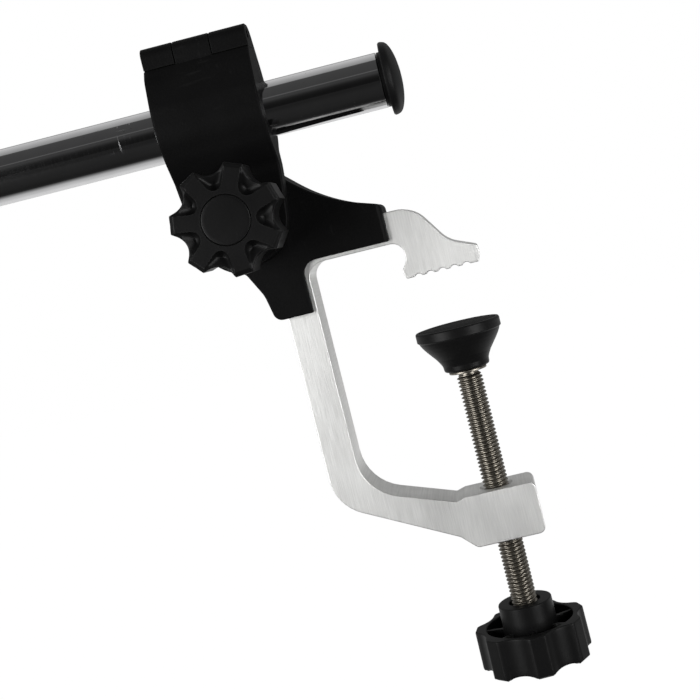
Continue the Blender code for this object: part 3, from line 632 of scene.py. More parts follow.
# %% The finishes by slot
FINISHES = {
    "aluminium": brushed_aluminium("brushed aluminium", (0.90, 0.90, 0.885), 0.50, 0.00006),
    "black_plastic": moulded_plastic("black moulded plastic", (0.0048, 0.0048, 0.0049), 0.46,
                                     0.00010, 2000.0, edge_highlight=0.04, dusty=0.30, gleam=0.05),
    "knob_plastic": moulded_plastic("smooth black plastic", (0.0060, 0.0060, 0.0061), 0.38,
                                    0.00003, 3000.0, edge_highlight=0.04, dusty=0.12),
    "cap_plastic": moulded_plastic("soft dark plastic", (0.0060, 0.0060, 0.0062), 0.42,
                                   0.00004, 2200.0, edge_highlight=0.05, dusty=0.20),
    "rubber": moulded_plastic("black rubber", (0.020, 0.020, 0.020), 0.72,
                              0.00008, 1800.0, edge_highlight=0.04, dusty=0.80),
    "grey_fibre": moulded_plastic("grey fibre", (0.16, 0.16, 0.16), 0.80,
                                  0.00010, 1500.0, edge_highlight=0.05, dusty=0.30),
    "stainless_steel": plain_metal("rolled stainless steel", (0.235, 0.218, 0.188), 0.36,
                                   0.3, 0.000004, (400.0, 400.0, 3000.0)),
    "chrome": plain_metal("bright chrome", (0.84, 0.84, 0.85), 0.06, 0.5, 0.000001, (2500.0, 300.0, 300.0)),
    "brass": plain_metal("turned brass", (0.72, 0.55, 0.27), 0.30, 0.3, 0.00001, (600.0, 600.0, 600.0)),
}
print("finishes:", sorted(FINISHES))

# %% [markdown]
# ## Joining a piece to the model
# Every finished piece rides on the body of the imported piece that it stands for, so it moves with it. Its
# faces are shaded smooth, except across sharp edges, and big flat faces get the last word on the shading.

# %% Fitting
SMOOTH_BELOW, KNOB_SMOOTH_BELOW = math.radians(32), math.radians(40)
FINISH_OF = {row["node"]: row["material_slot"] for row in frame["record"]["subparts"]}
BODY_OF = {node: body for body, nodes in frame["record"]["behaviour"]["bodies"].items() for node in nodes}


def fit_piece(thing, node, smooth=SMOOTH_BELOW):
    """Shade a finished piece, give it its finish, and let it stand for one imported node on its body."""
    thing.data.shade_smooth()
    thing.data.set_sharp_from_angle(angle=smooth)
    even = thing.modifiers.new("even shading", "WEIGHTED_NORMAL")
    even.mode, even.keep_sharp, even.weight = "FACE_AREA", True, 80
    graph = bpy.context.evaluated_depsgraph_get()
    thing.data = bpy.data.meshes.new_from_object(thing.evaluated_get(graph))
    thing.modifiers.clear()
    thing.data.materials.clear()
    thing.data.materials.append(FINISHES[FINISH_OF[node]])
    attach(thing, BODY_OF[node])
    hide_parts(node)
    print(f"{thing.name}: {len(thing.data.polygons)} faces")


# %% [markdown]
# ## Clamp frame
# The frame is cut from extruded aluminium bar: one C-shaped outline, the same through its whole depth, with
# its cut faces brushed and its edges just broken. The jaw's underside has five shallow round grooves, which
# leave flat-topped teeth. A box could be cut and bevelled into this, but with a list of corners, each with
# its radius, every arc is exact and one number moves a whole side.

# %% Clamp frame outline
frame_low, frame_high = box_mm("clamp_frame")
ARM_OUTER, JAW_TIP, BEAM_TOP, BOSS_BOTTOM = frame_low[0], frame_high[0], frame_high[2], frame_low[2]
ARM_INNER = ARM_OUTER + 11.6
BEAM_UNDER = BEAM_TOP - 11.9
BOSS_TOP = BOSS_BOTTOM + 19.7
BOSS_LEFT, BOSS_RIGHT = -11.8, 14.5
TOOTH_PITCH, GROOVE_HALF, GROOVE_ARC, GROOVE_PEAK, TOOTH_EDGE = 4.56, 1.48, 1.66, 2.26, 0.15


def tooth_corners():
    """Per groove, from the tip to the heel: a land's end, the hollow arc's corner, the next land's end."""
    corners = []
    for groove in range(2, -3, -1):
        middle = groove * TOOTH_PITCH
        corners += [(middle + GROOVE_HALF, 0.0, TOOTH_EDGE), (middle, GROOVE_PEAK, GROOVE_ARC),
                    (middle - GROOVE_HALF, 0.0, TOOTH_EDGE)]
    return corners


# (x, z, radius): under the jaw, up into the C and down the arm, round the boss, up the arm's back and over
frame_corners = [
    (13.9, 0.0, 0.6),
    *tooth_corners(),
    (-13.6, 0.0, 0.7), (-14.5, 3.2, 1.6), (-12.1, 6.8, 3.0),
    (-12.1, BEAM_UNDER, 4.6), (ARM_INNER, BEAM_UNDER, 6.0), (ARM_INNER, -74.1, 18.0),
    (-15.6, -85.6, 1.4), (-12.2, BOSS_TOP, 1.2),
    (BOSS_RIGHT, BOSS_TOP, 2.6), (BOSS_RIGHT, BOSS_BOTTOM, 2.6),
    (BOSS_LEFT, BOSS_BOTTOM, 2.8), (-17.3, -98.9, 4.0),
    (ARM_OUTER, -76.8, 17.0), (ARM_OUTER, BEAM_TOP, 10.0),
    (-5.8, BEAM_TOP, 11.6), (4.4, 10.5, 12.0),
    (JAW_TIP - 0.3, 6.2, 1.2), (JAW_TIP, 3.0, 3.0),
]
print("corners in the frame's outline:", len(frame_corners))

# %% Clamp frame
HALF_DEPTH = frame_high[1]
HOLE_RADIUS, MOUTH_RADIUS = 5.2, 6.4
CHAMFER = MOUTH_RADIUS - HOLE_RADIUS

frame_levels = edge_levels(-HALF_DEPTH, HALF_DEPTH, 0.35, 0.35)
clamp_frame = plate("clamp_frame_detailed", frame_corners, "Y", frame_levels)
hole_profile = [
    (MOUTH_RADIUS, BOSS_TOP + 1.0), (MOUTH_RADIUS, BOSS_TOP), (HOLE_RADIUS, BOSS_TOP - CHAMFER),
    (HOLE_RADIUS, BOSS_BOTTOM + CHAMFER), (MOUTH_RADIUS, BOSS_BOTTOM), (MOUTH_RADIUS, BOSS_BOTTOM - 1.0),
]
combine(clamp_frame, turned("hole", hole_profile, ORIGIN, "Z", 64))
fit_piece(clamp_frame, "clamp_frame")

# %% [markdown]
# ## Bracket shells
# Two plastic half shells clamp over the frame's upper corner, and the round boss at their left end carries
# the pivot. They are flat in front and behind, with a soft rim and a fine line where the halves meet. The
# outline is carried through like the frame's, and booleans take out what crosses it: corner, holes, recess.

# %% Bracket outline
PIVOT = (-66.6, 35.7)
BOSS_RADIUS = 20.3
bracket_low, bracket_high = box_mm("bracket_front_shell")
BRACKET_FRONT, BRACKET_RIGHT = bracket_low[1], bracket_high[0]
BRACKET_BACK = box_mm("bracket_rear_shell")[1][1]
SPLIT_HALF, FRAME_ROOM, POCKET_FLOOR = 0.15, 0.3, -20.0
POCKET_TOP, POCKET_LEFT = BEAM_TOP + FRAME_ROOM, ARM_OUTER - FRAME_ROOM
POCKET_REACH = HALF_DEPTH + FRAME_ROOM

bracket_corners = [
    (BRACKET_RIGHT, 15.2, 0.8), (BRACKET_RIGHT, 29.2, 2.8), (-36.6, 35.7, 64.0),
    *arc_corners(PIVOT, BOSS_RADIUS, 47.4, 250.0, 4),
    (-71.2, 15.8, 3.0), (-66.4, 6.5, 12.0), (-64.3, -3.8, 3.4), (-50.1, -3.8, 0.6), (-50.1, 15.2, 5.0),
]
pocket_corners = [
    (0.0, POCKET_FLOOR, 0.1), (0.0, POCKET_TOP, 0.1), (POCKET_LEFT, POCKET_TOP, 10.3),
    (POCKET_LEFT, POCKET_FLOOR, 0.1),
]
print("corners in the bracket's outline:", len(bracket_corners))


# %% Bracket tools
def pivot_place(y):
    """A point on the pivot's axis, in mm."""
    return (PIVOT[0], y, PIVOT[1])


END_ROUND, PAST_END = 2.6, 0.1


def end_round(face):
    """A tool that rounds the bracket's free end, where its flat face at this y meets its end face."""
    inward = -np.sign(face)
    outside = (BRACKET_RIGHT + 1, face - inward)
    start, stop = BRACKET_RIGHT - END_ROUND - PAST_END, face + inward * (END_ROUND + PAST_END)
    corners = [(*outside, 0.1), (start, outside[1], 0.1), (start, face, 0.01),
               (BRACKET_RIGHT, face, END_ROUND), (BRACKET_RIGHT, stop, 0.01), (outside[0], stop, 0.1)]
    return plate("end_round", corners, "Z", [(10.0, 0.0), (60.0, 0.0)], per_corner=16)


# %% Bracket shells
SCREW_PLACES = ((-31.0, 30.4), (-47.0, 37.0), (-63.8, 9.8))
SCREW_TIP, THREAD_HOLE, HEAD_HOLE, HEAD_SINK = -10.3, 1.55, 2.5, 2.2
BOLT_HOLE, HEX_HOLE, HEX_SINK = 4.2, 7.9, 4.0
PAST_BRACKET = 20.0


def bracket_shell(name, node, levels, face):
    """The outline through its levels, less the frame's corner, the bolt's hole and the three screw holes."""
    shell = plate(name, bracket_corners, "Y", levels, per_corner=14)
    combine(shell, plate("pocket", pocket_corners, "Y", [(-POCKET_REACH, 0.0), (POCKET_REACH, 0.0)]))
    bolt_room = [(BOLT_HOLE, -PAST_BRACKET), (BOLT_HOLE, PAST_BRACKET)]
    combine(shell, turned("hole", bolt_room, pivot_place(0.0), "Y", 64))
    combine(shell, end_round(face))
    bore = [(THREAD_HOLE, SCREW_TIP), (THREAD_HOLE, BRACKET_BACK - HEAD_SINK),
            (HEAD_HOLE, BRACKET_BACK - HEAD_SINK), (HEAD_HOLE, BRACKET_BACK + 1.0)]
    for x, z in SCREW_PLACES:
        combine(shell, turned("screw_hole", bore, (x, 0.0, z), "Y", 32))
    if face > 0:
        hexagon = [(HEX_HOLE, BRACKET_BACK - HEX_SINK), (HEX_HOLE, PAST_BRACKET)]
        combine(shell, turned("hex_pocket", hexagon, pivot_place(0.0), "Y", 6))
    fit_piece(shell, node)


front_levels = edge_levels(BRACKET_FRONT, -SPLIT_HALF, 0.6, 0.2, 0.8)
rear_levels = edge_levels(SPLIT_HALF, BRACKET_BACK, 0.2, 0.6, 0.8)
bracket_shell("bracket_front_detailed", "bracket_front_shell", front_levels, BRACKET_FRONT)
bracket_shell("bracket_rear_detailed", "bracket_rear_shell", rear_levels, BRACKET_BACK)

# %% [markdown]
# ## Bolt, screws and washers
# Three small cross-head screws hold the bracket's halves together from behind, and one long bolt carries the
# holder and the front knob. They are profiles turned as on a lathe. A screw's recess is a cross of two
# tapered slots cut into its head, and the hexagon is a turned head whose radius changes with the angle.

# %% Bracket screws
SLOT_HALF, SLOT_TOP, SLOT_BOTTOM, SLOT_DEPTH = 0.26, 1.25, 0.55, 1.5


def cross_tool(x, z):
    """Two tapered slots at right angles, pointing into the head, as one closed piece."""
    slots = []
    for along_x in (True, False):
        rings = []
        for y, reach in ((BRACKET_BACK - SLOT_DEPTH, SLOT_BOTTOM), (BRACKET_BACK + 0.5, SLOT_TOP)):
            half_x, half_z = (reach, SLOT_HALF) if along_x else (SLOT_HALF, reach)
            rings.append([(x + sign_x * half_x, y, z + sign_z * half_z) for sign_x, sign_z in SQUARE])
        slots.append(skin("slot", rings))
    return combine(*slots, "UNION")


# (radius, depth below the head's top), from the tip to the middle of the head
HEAD_CURVE = [(1.25, 1.7), (2.1, 1.7), (2.1, 0.9), (1.9, 0.45), (1.4, 0.15), (0.6, 0.0)]
screw_profile = [(1.0, -10.0), (1.25, -9.6)] + [(radius, BRACKET_BACK - deep) for radius, deep in HEAD_CURVE]
for number, (x, z) in enumerate(SCREW_PLACES, start=1):
    screw = turned(f"bracket_screw_{number}_detailed", eased(screw_profile, 0.1, 2), (x, 0.0, z), "Y", 40)
    combine(screw, cross_tool(x, z))
    fit_piece(screw, f"bracket_screw_{number}")

# %% Pivot bolt
bolt_low, bolt_high = box_mm("pivot_bolt")
BOLT_TIP, HEAD_TOP, HEAD_BOTTOM = bolt_low[1], bolt_high[1], BRACKET_BACK - 3.7
HEX_CORNER, CONE_RADIUS, BOLT_RADIUS, TIP_RADIUS = 7.5, 7.62, 3.9, 3.3
# (depth below the head's top, how far the chamfer's cone has drawn in there)
CHAMFER_LEVELS = [(0.9, 0.0), (0.45, 0.45), (0.1, 1.0), (0.0, 1.3), (0.0, 4.0), (0.25, 4.3)]

# the hexagon's radius at an angle is its half width over the cosine of the angle from the nearest flat's
# middle, and the chamfer is a cone that its corners reach first, so the smaller of the two is kept
hex_angle = full_turn(96)
from_flat = (hex_angle + math.pi / 6) % (math.pi / 3) - math.pi / 6
hexagon = HEX_CORNER * math.cos(math.pi / 6) / np.cos(from_flat)
levels = [(HEAD_BOTTOM, 0.0)] + [(HEAD_TOP - deep, drawn_in) for deep, drawn_in in CHAMFER_LEVELS]
head_rings = [around(np.minimum(hexagon, CONE_RADIUS - drawn_in), y, hex_angle, pivot_place(0.0), "Y")
              for y, drawn_in in levels]
pivot_bolt = skin("pivot_bolt_detailed", head_rings)
shank = [(TIP_RADIUS, BOLT_TIP), (BOLT_RADIUS, BOLT_TIP + 0.6), (BOLT_RADIUS, HEAD_BOTTOM + 1.0)]
combine(pivot_bolt, turned("shank", shank, pivot_place(0.0), "Y", 48), "UNION")
fit_piece(pivot_bolt, "pivot_bolt")


# %% Washers and rings
def ring_piece(node, inner, direction, centre, ease=0.2):
    """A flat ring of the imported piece's outer size and thickness, with its four edges eased."""
    low, high = box_mm(node)
    along = "XYZ".index(direction)
    across = (along + 1) % 3
    outer = (high[across] - low[across]) / 2
    bottom, top = low[along], high[along]
    middle = (bottom + top) / 2
    loop = [(inner, middle), (inner, bottom), (outer, bottom), (outer, top), (inner, top), (inner, middle)]
    ring = turned(f"{node}_detailed", eased(loop, ease)[:-1], centre, direction, wrap=True)
    fit_piece(ring, node)


ring_piece("friction_disc", BOLT_HOLE, "Y", pivot_place(0.0))
ring_piece("front_knob_washer", BOLT_HOLE, "Y", pivot_place(0.0))
ring_piece("thrust_washer", 3.85, "Z", ORIGIN, 0.1)

# %% [markdown]
# ## Tube holder
# Two shells close round the tube: the rear one carries the outer hinge knuckles and is held on the bracket,
# and the front one swings on the hinge and is pressed home by the knob. Each is worked out as level slices.
# At every height the slice is a rectangle with soft outer corners; its two sides come from the holder's
# outline seen from the front, and its front and back come from the holder's profile seen from the side. A
# bevelled block could follow only one of the two outlines at a time.

# %% Holder sizes
TUBE_Y, TUBE_Z, BORE_RADIUS = -20.0, 72.0, 10.15
HINGE_Y, HINGE_Z, KNUCKLE_RADIUS = -22.8, 99.5, 3.9
HINGE, HOLDER_TOP, SHOULDER = (HINGE_Y, HINGE_Z), HINGE_Z + KNUCKLE_RADIUS, 94.8
rear_low, rear_high = box_mm("holder_rear_shell")
HOLDER_LEFT, HOLDER_RIGHT = rear_low[0], rear_high[0]
SIDE_MIDDLE, SIDE_REACH = (HOLDER_LEFT + HOLDER_RIGHT) / 2, (HOLDER_RIGHT - HOLDER_LEFT) / 2
LUG_RADIUS, LUG_FRONT, LUG_BACK = 17.6, -22.9, -14.8
LUG_BOTTOM = PIVOT[1] - LUG_RADIUS
DRAW_FROM, DRAW_TO = 33.25, 52.0
SIDE_EASE, TOP_EASE = 0.9, 0.25
EJECTOR, EJECTOR_RADIUS, EJECTOR_WIDTH, EJECTOR_DEPTH = (-53.5, 64.5), 2.6, 0.22, 0.10


def belly_arc(start, end):
    """Two corners of the round belly about the tube, in the (y, z) plane."""
    return arc_corners((TUBE_Y, TUBE_Z), 14.0, start, end, 2)


front_outline = rounded_outline([
    (-10.0, SHOULDER + 0.01, 0.1), (-27.3, SHOULDER, 0.5), (-30.6, 91.0, 10.0), (-33.7, 80.0, 12.0),
    *belly_arc(172, 248), (LUG_FRONT, 52.5, 5.0), (LUG_FRONT, 10.0, 0.1), (-10.0, 10.0, 0.1),
], per_corner=14)
rear_outline = rounded_outline([
    (-40.0, HOLDER_TOP + 0.01, 0.1), (-15.5, HOLDER_TOP, 6.0), (-9.6, 88.0, 10.0),
    *belly_arc(13, -58), (LUG_BACK, 57.0, 1.6), (LUG_BACK, 10.0, 0.1), (-40.0, 10.0, 0.1),
], per_corner=14)
print("front shell reaches y =", round(front_outline[:, 0].min(), 2))


# %% Holder slices
def side_of(z, sign):
    """The holder's left (-1) or right (1) edge at a height: straight, drawn in, then the lug's circle."""
    full = SIDE_MIDDLE + sign * SIDE_REACH
    circle = PIVOT[0] + sign * np.sqrt(np.maximum(LUG_RADIUS ** 2 - (z - PIVOT[1]) ** 2, 0.0))
    shoulder = PIVOT[0] + sign * LUG_RADIUS * math.cos(math.radians(8))
    blend = np.clip((z - DRAW_FROM) / (DRAW_TO - DRAW_FROM), 0.0, 1.0)
    drawn_in = shoulder + (full - shoulder) * blend * (1.3 - 0.3 * blend)
    return np.where(z > DRAW_FROM, drawn_in, circle)


def profile_at(outline, z, sign):
    """The outer y of an (y, z) outline at given heights, from its points on one side of the split."""
    outer = outline[sign * (outline[:, 0] - TUBE_Y) > 0.5]
    order = np.argsort(outer[:, 1], kind="stable")
    return np.interp(z, outer[order, 1], outer[order, 0])


def holder_heights(top):
    """Heights from the top down: closer together at the top edge, along the bore and round the lug."""
    edge = top - 1.2 * (1 - np.cos(np.linspace(0, math.pi / 2, 8)))
    above_bore = np.linspace(top - 1.3, TUBE_Z + BORE_RADIUS + 0.05, 26)
    bore = TUBE_Z + BORE_RADIUS * np.cos(np.linspace(0, math.pi, 57))
    below_bore = np.linspace(TUBE_Z - BORE_RADIUS - 0.05, PIVOT[1] + 0.4, 44)
    lug = PIVOT[1] - LUG_RADIUS * np.sin(np.linspace(0.0, math.pi / 2, 28)[:-1])
    return np.concatenate([edge, above_bore, bore, below_bore, lug, [LUG_BOTTOM + 0.02]])


def slice_ring(left, right, back, front, columns=40, corner=7):
    """One level slice per row: along the flat back from right to left, up the left side, round its soft
    corner, across the front and round the right corner. The rear shell's front is at the higher y."""
    sign = np.sign(front - back)[:, None]
    angle = np.linspace(0, math.pi / 2, corner)
    ease = np.minimum(SIDE_EASE, 0.45 * (right - left))[:, None]
    across = np.linspace(0, 1, columns)[1:-1]
    left, right, back, front = (value[:, None] for value in (left, right, back, front))
    in_by, down_by = ease * (1 - np.cos(angle)), sign * ease * (1 - np.sin(angle))
    flat_front = left + ease + (right - left - 2 * ease) * across
    x = np.hstack([right, left, left + in_by, flat_front, right - in_by[:, ::-1]])
    y = np.hstack([back, back, front - down_by, front + 0 * across, front - down_by[:, ::-1]])
    return x, y


def holder_shell(name, outline, split, top, sign):
    """Slices between the split plane, hollowed by the bore, and the outer profile. Sign is -1 in front."""
    z = holder_heights(top)
    bore = np.sqrt(np.maximum(BORE_RADIUS ** 2 - (z - TUBE_Z) ** 2, 0.0))
    back = sign * np.maximum(sign * split, sign * TUBE_Y + bore)
    front = profile_at(outline, z, sign)
    above_ease = np.maximum(TOP_EASE - (top - z), 0.0)
    draw = TOP_EASE - np.sqrt(np.maximum(TOP_EASE ** 2 - above_ease ** 2, 0.0))
    left, right = side_of(z, -1) + draw, side_of(z, 1) - draw
    middle = (left + right) / 2
    x, y = slice_ring(np.minimum(left, middle - 0.3), np.maximum(right, middle + 0.3), back, front)
    height = np.broadcast_to(z[:, None], x.shape)
    if sign < 0:
        # the mould's ejector pin left a shallow ring near the outer face's lower right corner
        reach = np.hypot(x - EJECTOR[0], height - EJECTOR[1])
        ring = np.exp(-((reach - EJECTOR_RADIUS) / EJECTOR_WIDTH) ** 2)
        y = y + (y < TUBE_Y - 8.0) * EJECTOR_DEPTH * ring
    return skin(name, np.stack([x, y, height], axis=-1))


# %% Holder tools
KNUCKLE_LEFT, KNUCKLE_RIGHT, KNUCKLE_GAP = -74.6, -60.9, 0.15
LUG_HOLE, PIN_HOLE = 4.6, 1.8


def knuckle(name, left, right, web_bottom, reach):
    """A round knuckle on the hinge with a web down to the shell: one outline carried along X, ends eased."""
    front = HINGE_Y - KNUCKLE_RADIUS
    corners = [(front, HOLDER_TOP, KNUCKLE_RADIUS), (front, web_bottom, 0.3),
               (reach, web_bottom, 0.1), (reach, HOLDER_TOP, 0.1)]
    return plate(name, corners, "X", edge_levels(left, right, 0.35, 0.35))


def cut_holes(shell):
    """The bolt's hole through the lug, and the pin's hole along the hinge."""
    combine(shell, turned("hole", [(LUG_HOLE, -50.0), (LUG_HOLE, 10.0)], pivot_place(0.0), "Y", 64))
    pin_room = [(PIN_HOLE, HOLDER_LEFT - 3), (PIN_HOLE, HOLDER_RIGHT + 3)]
    combine(shell, turned("pin_hole", pin_room, (0.0, *HINGE), "X", 32))


# %% Holder shells
front_shell = holder_shell("holder_front_detailed", front_outline, TUBE_Y - 0.3, SHOULDER, -1)
web = knuckle("web", KNUCKLE_LEFT + KNUCKLE_GAP, KNUCKLE_RIGHT - KNUCKLE_GAP, SHOULDER - 1.3, TUBE_Y - 0.35)
combine(front_shell, web, "UNION")
cut_holes(front_shell)
fit_piece(front_shell, "holder_front_shell")

rear_shell = holder_shell("holder_rear_detailed", rear_outline, TUBE_Y, HOLDER_TOP, 1)
for left, right in ((HOLDER_LEFT, KNUCKLE_LEFT - KNUCKLE_GAP), (KNUCKLE_RIGHT + KNUCKLE_GAP, HOLDER_RIGHT)):
    combine(rear_shell, knuckle("outer_knuckle", left, right, SHOULDER + 0.25, TUBE_Y + 1.0), "UNION")
ROOM_RADIUS = KNUCKLE_RADIUS + 0.3
knuckle_room = [(ROOM_RADIUS, KNUCKLE_LEFT - 0.1), (ROOM_RADIUS, KNUCKLE_RIGHT + 0.1)]
combine(rear_shell, turned("knuckle_room", knuckle_room, (0.0, *HINGE), "X", 64))
cut_holes(rear_shell)
fit_piece(rear_shell, "holder_rear_shell")

# %% Hinge pin
pin_low, pin_high = box_mm("hinge_pin")
PIN_RADIUS = 1.5
pin_profile = [(0.3, pin_low[0]), (PIN_RADIUS, pin_low[0]), (PIN_RADIUS, pin_high[0]), (0.3, pin_high[0])]
hinge_pin = turned("hinge_pin_detailed", eased(pin_profile, 0.3), (0.0, *HINGE), "X", 32)
fit_piece(hinge_pin, "hinge_pin")

# %% [markdown]
# ## Star knobs
# Both knobs are the same moulding in two sizes: a hub, a body with seven lobes, scoops between the lobes on
# the outer side, an open ring behind with thin ribs, and a round cap in the middle. The surface is one
# closed sheet in polar form: for each angle, a list of radii and heights runs from the cap's seat over the
# top, down the side, through the hollow behind, up the hub and back through the bolt's hole. Scoops cut by
# seven booleans would leave creases; with one formula for the height they come out smooth and all alike.

# %% Knob sizes
LOBES = 7
HUB_RADIUS, HUB_HEIGHT, BODY_HEIGHT = 10.5, 8.2, 16.0
KNOB_TOP = HUB_HEIGHT + BODY_HEIGHT
CAP_RADIUS, SEAT_RADIUS, SEAT_SINK = 8.65, 8.85, 1.8
TIP_HALF, TIP_SOFTNESS, RIM_EASE, RIM_DROP = 3.5, 1.8, 0.6, 0.7
STRIP_HALF, SCOOP_START, SCOOP_ROUND, SCOOP_DEPTH = 2.9, 10.6, 2.8, 3.4
LIP_START, LIP_SHARE = 13.0, 0.65
INSERT_ROOM, INSERT_FLOOR = 7.2, 9.7
KNOB_ANGLE = full_turn(LOBES * 52)
FROM_LOBE = np.abs((KNOB_ANGLE + math.pi / LOBES) % (math.tau / LOBES) - math.pi / LOBES)
FROM_VALLEY = math.pi / LOBES - FROM_LOBE


def smooth_step(low, high, value):
    """0 below low, 1 above high, and 3t^2 - 2t^3 between."""
    t = np.clip((value - low) / (high - low), 0.0, 1.0)
    return t * t * (3 - 2 * t)


def soft_min(first, second, width):
    """The smaller of two values, with the crease between them rounded over a width."""
    gap = np.clip(0.5 + 0.5 * (second - first) / width, 0.0, 1.0)
    return second * (1 - gap) + first * gap - width * gap * (1 - gap)


# %% Knob outline and top
def knob_outline(tip, valley):
    """The rim's radius at each angle: a flat tip, then one hollow arc from tip corner to tip corner through
    the valley. The smaller of the two is kept, with the corner between them rounded."""
    corner = TIP_HALF / tip
    corner_x, corner_y = tip * math.cos(math.pi / LOBES - corner), tip * math.sin(math.pi / LOBES - corner)
    arc = ((corner_x - valley) ** 2 + corner_y ** 2) / (2 * (corner_x - valley))
    across = (valley + arc) * np.sin(FROM_VALLEY)
    hollow_arc = (valley + arc) * np.cos(FROM_VALLEY) - np.sqrt(np.maximum(arc ** 2 - across ** 2, 0.0))
    flat_tip = tip / np.cos(np.minimum(FROM_LOBE, 2 * corner)) * math.cos(corner)
    return soft_min(flat_tip, hollow_arc, TIP_SOFTNESS)


def knob_height(radius, tip, valley):
    """Flat strips along the lobes and a round-bottomed scoop between each two, rising to a lip at the rim.
    Near its tip each strip slopes down."""
    outward = radius * np.cos(FROM_VALLEY)
    inside = soft_min(radius * np.sin(FROM_LOBE) - STRIP_HALF, outward - SCOOP_START, 2.0)
    wall = 1 - np.clip(inside / SCOOP_ROUND, 0.0, 1.0)
    rise = 1 - LIP_SHARE * np.clip((outward - LIP_START) / (valley - LIP_START), 0.0, 1.0)
    height = KNOB_TOP - SCOOP_DEPTH * rise * np.sqrt(1 - wall ** 2)
    past_slope = np.maximum(radius * np.cos(FROM_LOBE) - (tip - 1.9), 0.0)
    return soft_min(height, KNOB_TOP - 0.9 * past_slope, 0.35)


# %% Knob rings
def outer_rings(tip, valley):
    """(radius, height) from the insert's room over the cap's seat and the top, and down the side."""
    edge = knob_outline(tip, valley)
    rings = [(INSERT_ROOM, INSERT_FLOOR), (INSERT_ROOM, KNOB_TOP - SEAT_SINK),
             (SEAT_RADIUS, KNOB_TOP - SEAT_SINK), (SEAT_RADIUS, KNOB_TOP - 0.35)]
    start, end = SEAT_RADIUS + 0.25, edge - RIM_EASE
    for share in np.linspace(0.0, 1.0, 48):
        radius = start + (end - start) * share
        rings.append((radius, knob_height(radius, tip, valley)))
    rim = knob_height(end, tip, valley)
    rings += [(edge - inset, rim - drop) for inset, drop in ((0.25, 0.12), (0.08, 0.35), (0.0, RIM_DROP))]
    for share in np.linspace(0.12, 0.9, 8):
        height = (rim - RIM_DROP) * (1 - share) + (HUB_HEIGHT + RIM_EASE) * share
        rings.append((edge - 0.15 * share, height))
    underside = ((0.15, 0.6), (0.22, 0.3), (0.4, 0.1), (0.7, 0.0))
    return rings + [(edge - inset, HUB_HEIGHT + height) for inset, height in underside]


def hollow_rings(valley):
    """(radius, height) of the ring-shaped hollow behind: its outer wall, its floor and its inner wall. At
    every lobe a thin rib fills it nearly to the rim."""
    outer, inner = valley - 1.9, HUB_RADIUS + 0.05
    floor_height, mouth = HUB_HEIGHT + 8.2, HUB_HEIGHT + 0.3
    wall = [(outer - 0.05 * k, mouth + (floor_height - mouth - 0.6) * k / 5) for k in range(6)]
    across = [(outer - 0.9 - (outer - inner - 2.1) * k / 4, floor_height) for k in range(5)]
    inner_wall = [(inner + 0.7, floor_height - 0.5), (inner + 0.25, floor_height - 1.6),
                  (inner + 0.1, HUB_HEIGHT + 3.0), (inner, HUB_HEIGHT + 0.2)]
    rings = [(outer + 0.3, HUB_HEIGHT)]
    for index, (radius, height) in enumerate(wall + across + inner_wall):
        rib = smooth_step(1.15, 0.8, radius * np.sin(FROM_LOBE))
        filled = min(height, HUB_HEIGHT + 1.0 + 0.03 * index)
        rings.append((radius, height + (filled - height) * rib))
    return rings


def hub_rings(bolt):
    """(radius, height) down the hub, across its end, into the chamfered hole and up to the insert."""
    mouth, hole = bolt + 1.2, bolt + 0.3
    return [(HUB_RADIUS, HUB_HEIGHT - 0.6), (HUB_RADIUS - 0.1, 0.5), (HUB_RADIUS - 0.25, 0.18),
            (HUB_RADIUS - 0.6, 0.0), (mouth + 0.3, 0.0), (mouth, 0.3), (mouth, 1.6), (hole, 1.6),
            (hole, INSERT_FLOOR)]


# %% Star knobs
def insert_loop(bolt):
    """(radius, height) round the threaded insert: two knurled bands with a groove between them."""
    hole, mouth, band = bolt + 0.3, bolt + 0.8, 6.9
    outside = [(6.6, 10.0), (band, 10.3), (band, 14.6), (6.4, 14.9), (6.4, 15.1), (band, 15.4), (band, 19.7)]
    return [(hole, 15.0), (hole, 10.3), (mouth, 10.0), *outside, (6.6, 20.0), (mouth, 20.0), (hole, 19.7)]


cap_profile = [(0.5, KNOB_TOP - 1.5), (CAP_RADIUS, KNOB_TOP - 1.5), (CAP_RADIUS, KNOB_TOP - 0.55),
               (CAP_RADIUS - 0.12, KNOB_TOP - 0.25), (CAP_RADIUS - 0.4, KNOB_TOP - 0.1)]
cap_profile += [(CAP_RADIUS * share, KNOB_TOP - 0.1 * share ** 2) for share in (0.85, 0.6, 0.35, 0.1)]


def make_knob(node, tip, valley, bolt, place, direction, lobe_angle):
    """A star knob placed by its hub's end, with its cap and its threaded insert."""
    name = f"{node}_detailed"
    rings = outer_rings(tip, valley) + hollow_rings(valley) + hub_rings(bolt)
    radius, height = (np.array([value + 0 * KNOB_ANGLE for value in column]) for column in zip(*rings))
    angle = KNOB_ANGLE[None, :] + math.radians(lobe_angle)
    knob = skin(name, around(radius, height, angle, place, direction), wrap=True)
    fit_piece(knob, node, KNOB_SMOOTH_BELOW)
    fit_piece(turned(f"{name}_cap", cap_profile, place, direction), f"{node}_cap")
    insert = turned(f"{name}_insert", insert_loop(bolt), place, direction, 64, wrap=True)
    fit_piece(insert, f"{node}_insert")


CREST_RADIUS = 4.92
washer_front = box_mm("front_knob_washer")[0][1]
make_knob("front_knob", 20.0, 16.4, BOLT_RADIUS, pivot_place(washer_front - 0.3), "-Y", 17.5)
lower_knob_top = box_mm("lower_knob")[1][2]
make_knob("lower_knob", 21.7, 18.9, CREST_RADIUS, (0.0, 0.0, lower_knob_top), "-Z", -85.0)

